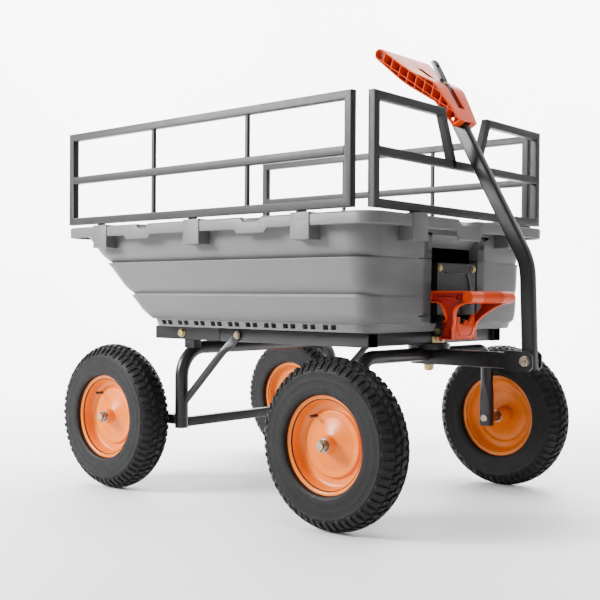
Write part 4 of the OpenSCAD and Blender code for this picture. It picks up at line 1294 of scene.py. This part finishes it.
def rear_axle():
    x, y = REAR_HOOP_X, REAR_HOOP_Y
    shape = Shape()
    sweep(shape, hoop_path(x, y, 394, 178, 78), circle(18, 36), (1, 0, 0))
    for s in (-1, 1):
        bar(shape, at(-187, s * 282.5, 394), at(-187, s * 282.5, 419.6), 38, 28, 2, Y_DIR)
        for a, b in (((-14, -14), (24, -14)), ((-14, 14), (24, 14))):
            sweep(shape, [at(x + a[0] + 2, s * 282.5 + a[1], 409), at(x + b[0] - 14,
                  s * 282.5 + b[1], 409)], circle(1.6, 8), Y_DIR)
        washer(shape, at(x, s * y, 206), (0, 0, 1), 19.4, 2.2, 17)
    piece("rear_hoop", shape, "black_paint", "chassis", ["rear_axle_tube"])
    shape = Shape()
    sweep(shape, [at(x, -y + 8, 193), at(x, y - 8, 193)], rounded_rect(26, 20, 2.5, 4), (1, 0, 0))
    for s in (-1, 1):
        washer(shape, at(x, s * (y - 19.5), 193), (0, s, 0), 13, 2.4, 8)
    piece("rear_lower_beam", shape, "black_paint", "chassis", ["rear_axle_beam"])
    shape = Shape()
    for s in (-1, 1):
        outline = [(x, 187.3), (x, 212.7), (-404, 212.7)] + arc(-404, 200, 12.7, 90, 270, 12)
        loft(shape, [[at(a, s * w, z) for a, z in outline] for w in (305.3, 330.7)])
        washer(shape, at(x - 17, s * y, 200), (-1, 0, 0), 16, 2.4, 12)
    piece("rear_wheel_arms", shape, "black_paint", "chassis", ["rear_arms"], bevel=1.4)
    shape = Shape()
    for s in (-1, 1):
        low, high = Vector((-186, 0, 248)), Vector((-16, 0, 412))
        along = (high - low).normalized()
        stops = []
        for t, a, b, power, y in ((-25, 11, 4.6, 6, 319), (-6, 12, 5, 6, 317.5),
                                  (14, 11.4, 6.5, 3, 314.6), (36, 10, 10, 2, 312.5),
                                  (120, 10, 10, 2, 312.5), (204, 10, 10, 2, 312.5),
                                  (222, 11, 6.2, 3, 308.6), (236, 12, 2.6, 6, 304.9),
                                  (262, 12, 2.5, 6, 304.7), (270, 8.5, 2.5, 4, 304.7)):
            p = low + along * t
            stops.append((at(p.x, s * y, p.z), a, b, power))
        blended_tube(shape, stops, Y_DIR)
    piece("rear_brace_tubes", shape, "black_paint", "chassis", ["rear_braces"])


def front_axle():
    x, y = KING_X, 290
    shape = Shape()
    path = hoop_path(x, y, 391, 292, 96)
    stops = []
    for end in (path[0], path[-1]):
        flat = [(end + Vector((0, 0, d * MM)), a, b, power) for d, a, b, power in (
            (-113.8, 11.5, 15.5, 7), (-112, 12.5, 17, 7), (-40, 12.5, 17, 7), (-20, 13, 17, 4.5),
            (-8, 15, 17, 2.8))]
        stops.append(flat)
    line = stops[0] + [(p, 17, 17, 2) for p in path] + stops[1][::-1]
    blended_tube(shape, line, (1, 0, 0))
    piece("front_hoop", shape, "black_paint", "front_axle", ["front_axle_tube"])
    shape = Shape()
    hollow_bar(shape, at(356, 0, 384.5), at(637, 0, 384.5), 39, 40, 3.5, Y_DIR, 3)
    loft(shape, [[at(a, b, c) for b, c in ((-16, 369), (16, 369), (16, 400), (-16, 400))]
                 for a in (357, 359)])
    piece("tongue_tube", shape, "black_paint", "front_axle", ["tongue"], bevel=0.5)
    shape = Shape()
    outline = [(567, 368), (632, 368), (632, 361), (697, 361), (707, 371), (707, 400), (697, 410),
               (632, 410), (632, 401), (567, 401)]
    for s in (-1, 1):
        ring_plate(shape, outline_round(outline), (688, 386), 7.2,
                   lambda a, c, w: at(a, s * w, c), 20, 25)
        for a in (580, 612):
            rod(shape, at(a, s * 24, 384.5), at(a, s * 25.8, 384.5), 5, 20, 0.7)
    piece("clevis_steel", shape, "black_paint", "front_axle", ["clevis_plates"], bevel=0.8)


def outline_round(points, cut=2.0):
    """Chamfers every corner of an outline a little."""
    out = []
    for i, p in enumerate(points):
        for q in (points[i - 1], points[(i + 1) % len(points)]):
            d = math.hypot(q[0] - p[0], q[1] - p[1])
            k = min(cut, d * 0.3) / d
            out.append((p[0] + (q[0] - p[0]) * k, p[1] + (q[1] - p[1]) * k))
    return out


def bolt(shape, x, z, side, span, radius, steps, chamfer):
    """The round part of a bolt across the cart, from span's start to its end."""
    rod(shape, at(x, side * span[0], z), at(x, side * span[1], z), radius, steps, chamfer)


def fasteners():
    for end, x, inner in (("rear", -SPINDLE_X, 305), ("front", SPINDLE_X, 277.5)):
        body = "chassis" if end == "rear" else "front_axle"
        shape = Shape()
        for s in (-1, 1):
            bolt(shape, x, HUB_Z, s, (inner - 2, 434), 9.95, 32, 1)
            for y in range(422, 433):
                washer(shape, at(x, s * y, HUB_Z), (0, s, 0), 10, 0.55, 9)
            bolt(shape, x, HUB_Z, s, (inner + 25, 345.4), 15, 32, 0.8)
            hex_head(shape, at(x, s * (inner + 8.8), HUB_Z), (0, -s, 0), 26, 8.6)
        piece(f"{end}_spindle_steel", shape, "dark_zinc_steel", body, [f"{end}_spindles"])
        shape = Shape()
        for s in (-1, 1):
            washer(shape, at(x, s * 418.6, HUB_Z), (0, s, 0), 15, 2.4, 10.2)
            rings = []
            corner = 27 / math.sqrt(3)
            for r, h in ((10.3, 421), (26 / math.sqrt(3) - 0.8, 421), (corner, 422.2),
                         (corner, 427.4), (corner - 1.6, 428.9), (10.3, 428.9)):
                rings.append([at(x + r * math.cos(a), s * h, HUB_Z + r * math.sin(a))
                              for a in [math.tau * i / 6 for i in range(6)]])
            loop(shape, rings)
            rod(shape, at(x, s * 431.5, HUB_Z - 14.6), at(x, s * 431.5, HUB_Z + 14.6),
                1.6, 12, 0.5)
        piece(f"{end}_nuts_steel", shape, "dark_zinc_steel", body, [f"{end}_axle_nuts"])
    shape = Shape()
    for s in (-1, 1):
        x, z = PIVOT
        bolt(shape, x, z, s, (252, 305), 6, 24, 0.6)
        washer(shape, at(x, s * 302.3, z), (0, s, 0), 12.4, 1.4, 6)
        hex_head(shape, at(x, s * 303.6, z), (0, s, 0), 19, 6.2)
        hex_head(shape, at(x, s * 262.7, z), (0, -s, 0), 19, 9.4)
    piece("pivot_bolt_steel", shape, "zinc_steel", "chassis", ["pivot_bolts"], bevel=0.5)
    shape = Shape()
    for s in (-1, 1):
        x, z = BRACE_BOLT
        bolt(shape, x, z, s, (254, 308), 5, 20, 0.5)
        washer(shape, at(x, s * 307.1, z), (0, s, 0), 10.6, 1.2, 5)
        hex_head(shape, at(x, s * 308.2, z), (0, s, 0), 16, 4.8)
        hex_head(shape, at(x, s * 263, z), (0, -s, 0), 16, 7.8)
    piece("brace_bolt_steel", shape, "dark_zinc_steel", "chassis",
          ["brace_bolts"], bevel=0.4)
    shape = Shape()
    for s in (-1, 1):
        x, z = FOOT
        washer(shape, at(x, s * 25.3, z), (0, s, 0), 13, 1.7, 7)
        hex_head(shape, at(x, s * 27, z), (0, s, 0), 22, 7.8)
    rod(shape, at(FOOT[0], -37, FOOT[1]), at(FOOT[0], 37, FOOT[1]), 6.95, 28, 0.8)
    piece("pole_bolt_steel", shape, "dark_zinc_steel", "pole_pivot",
          ["pole_bolt"], bevel=0.5)


for rail_side in SIDES:
    rails(rail_side)
cross_beams()
rear_axle()
front_axle()
fasteners()

camera()
floor()
studio()
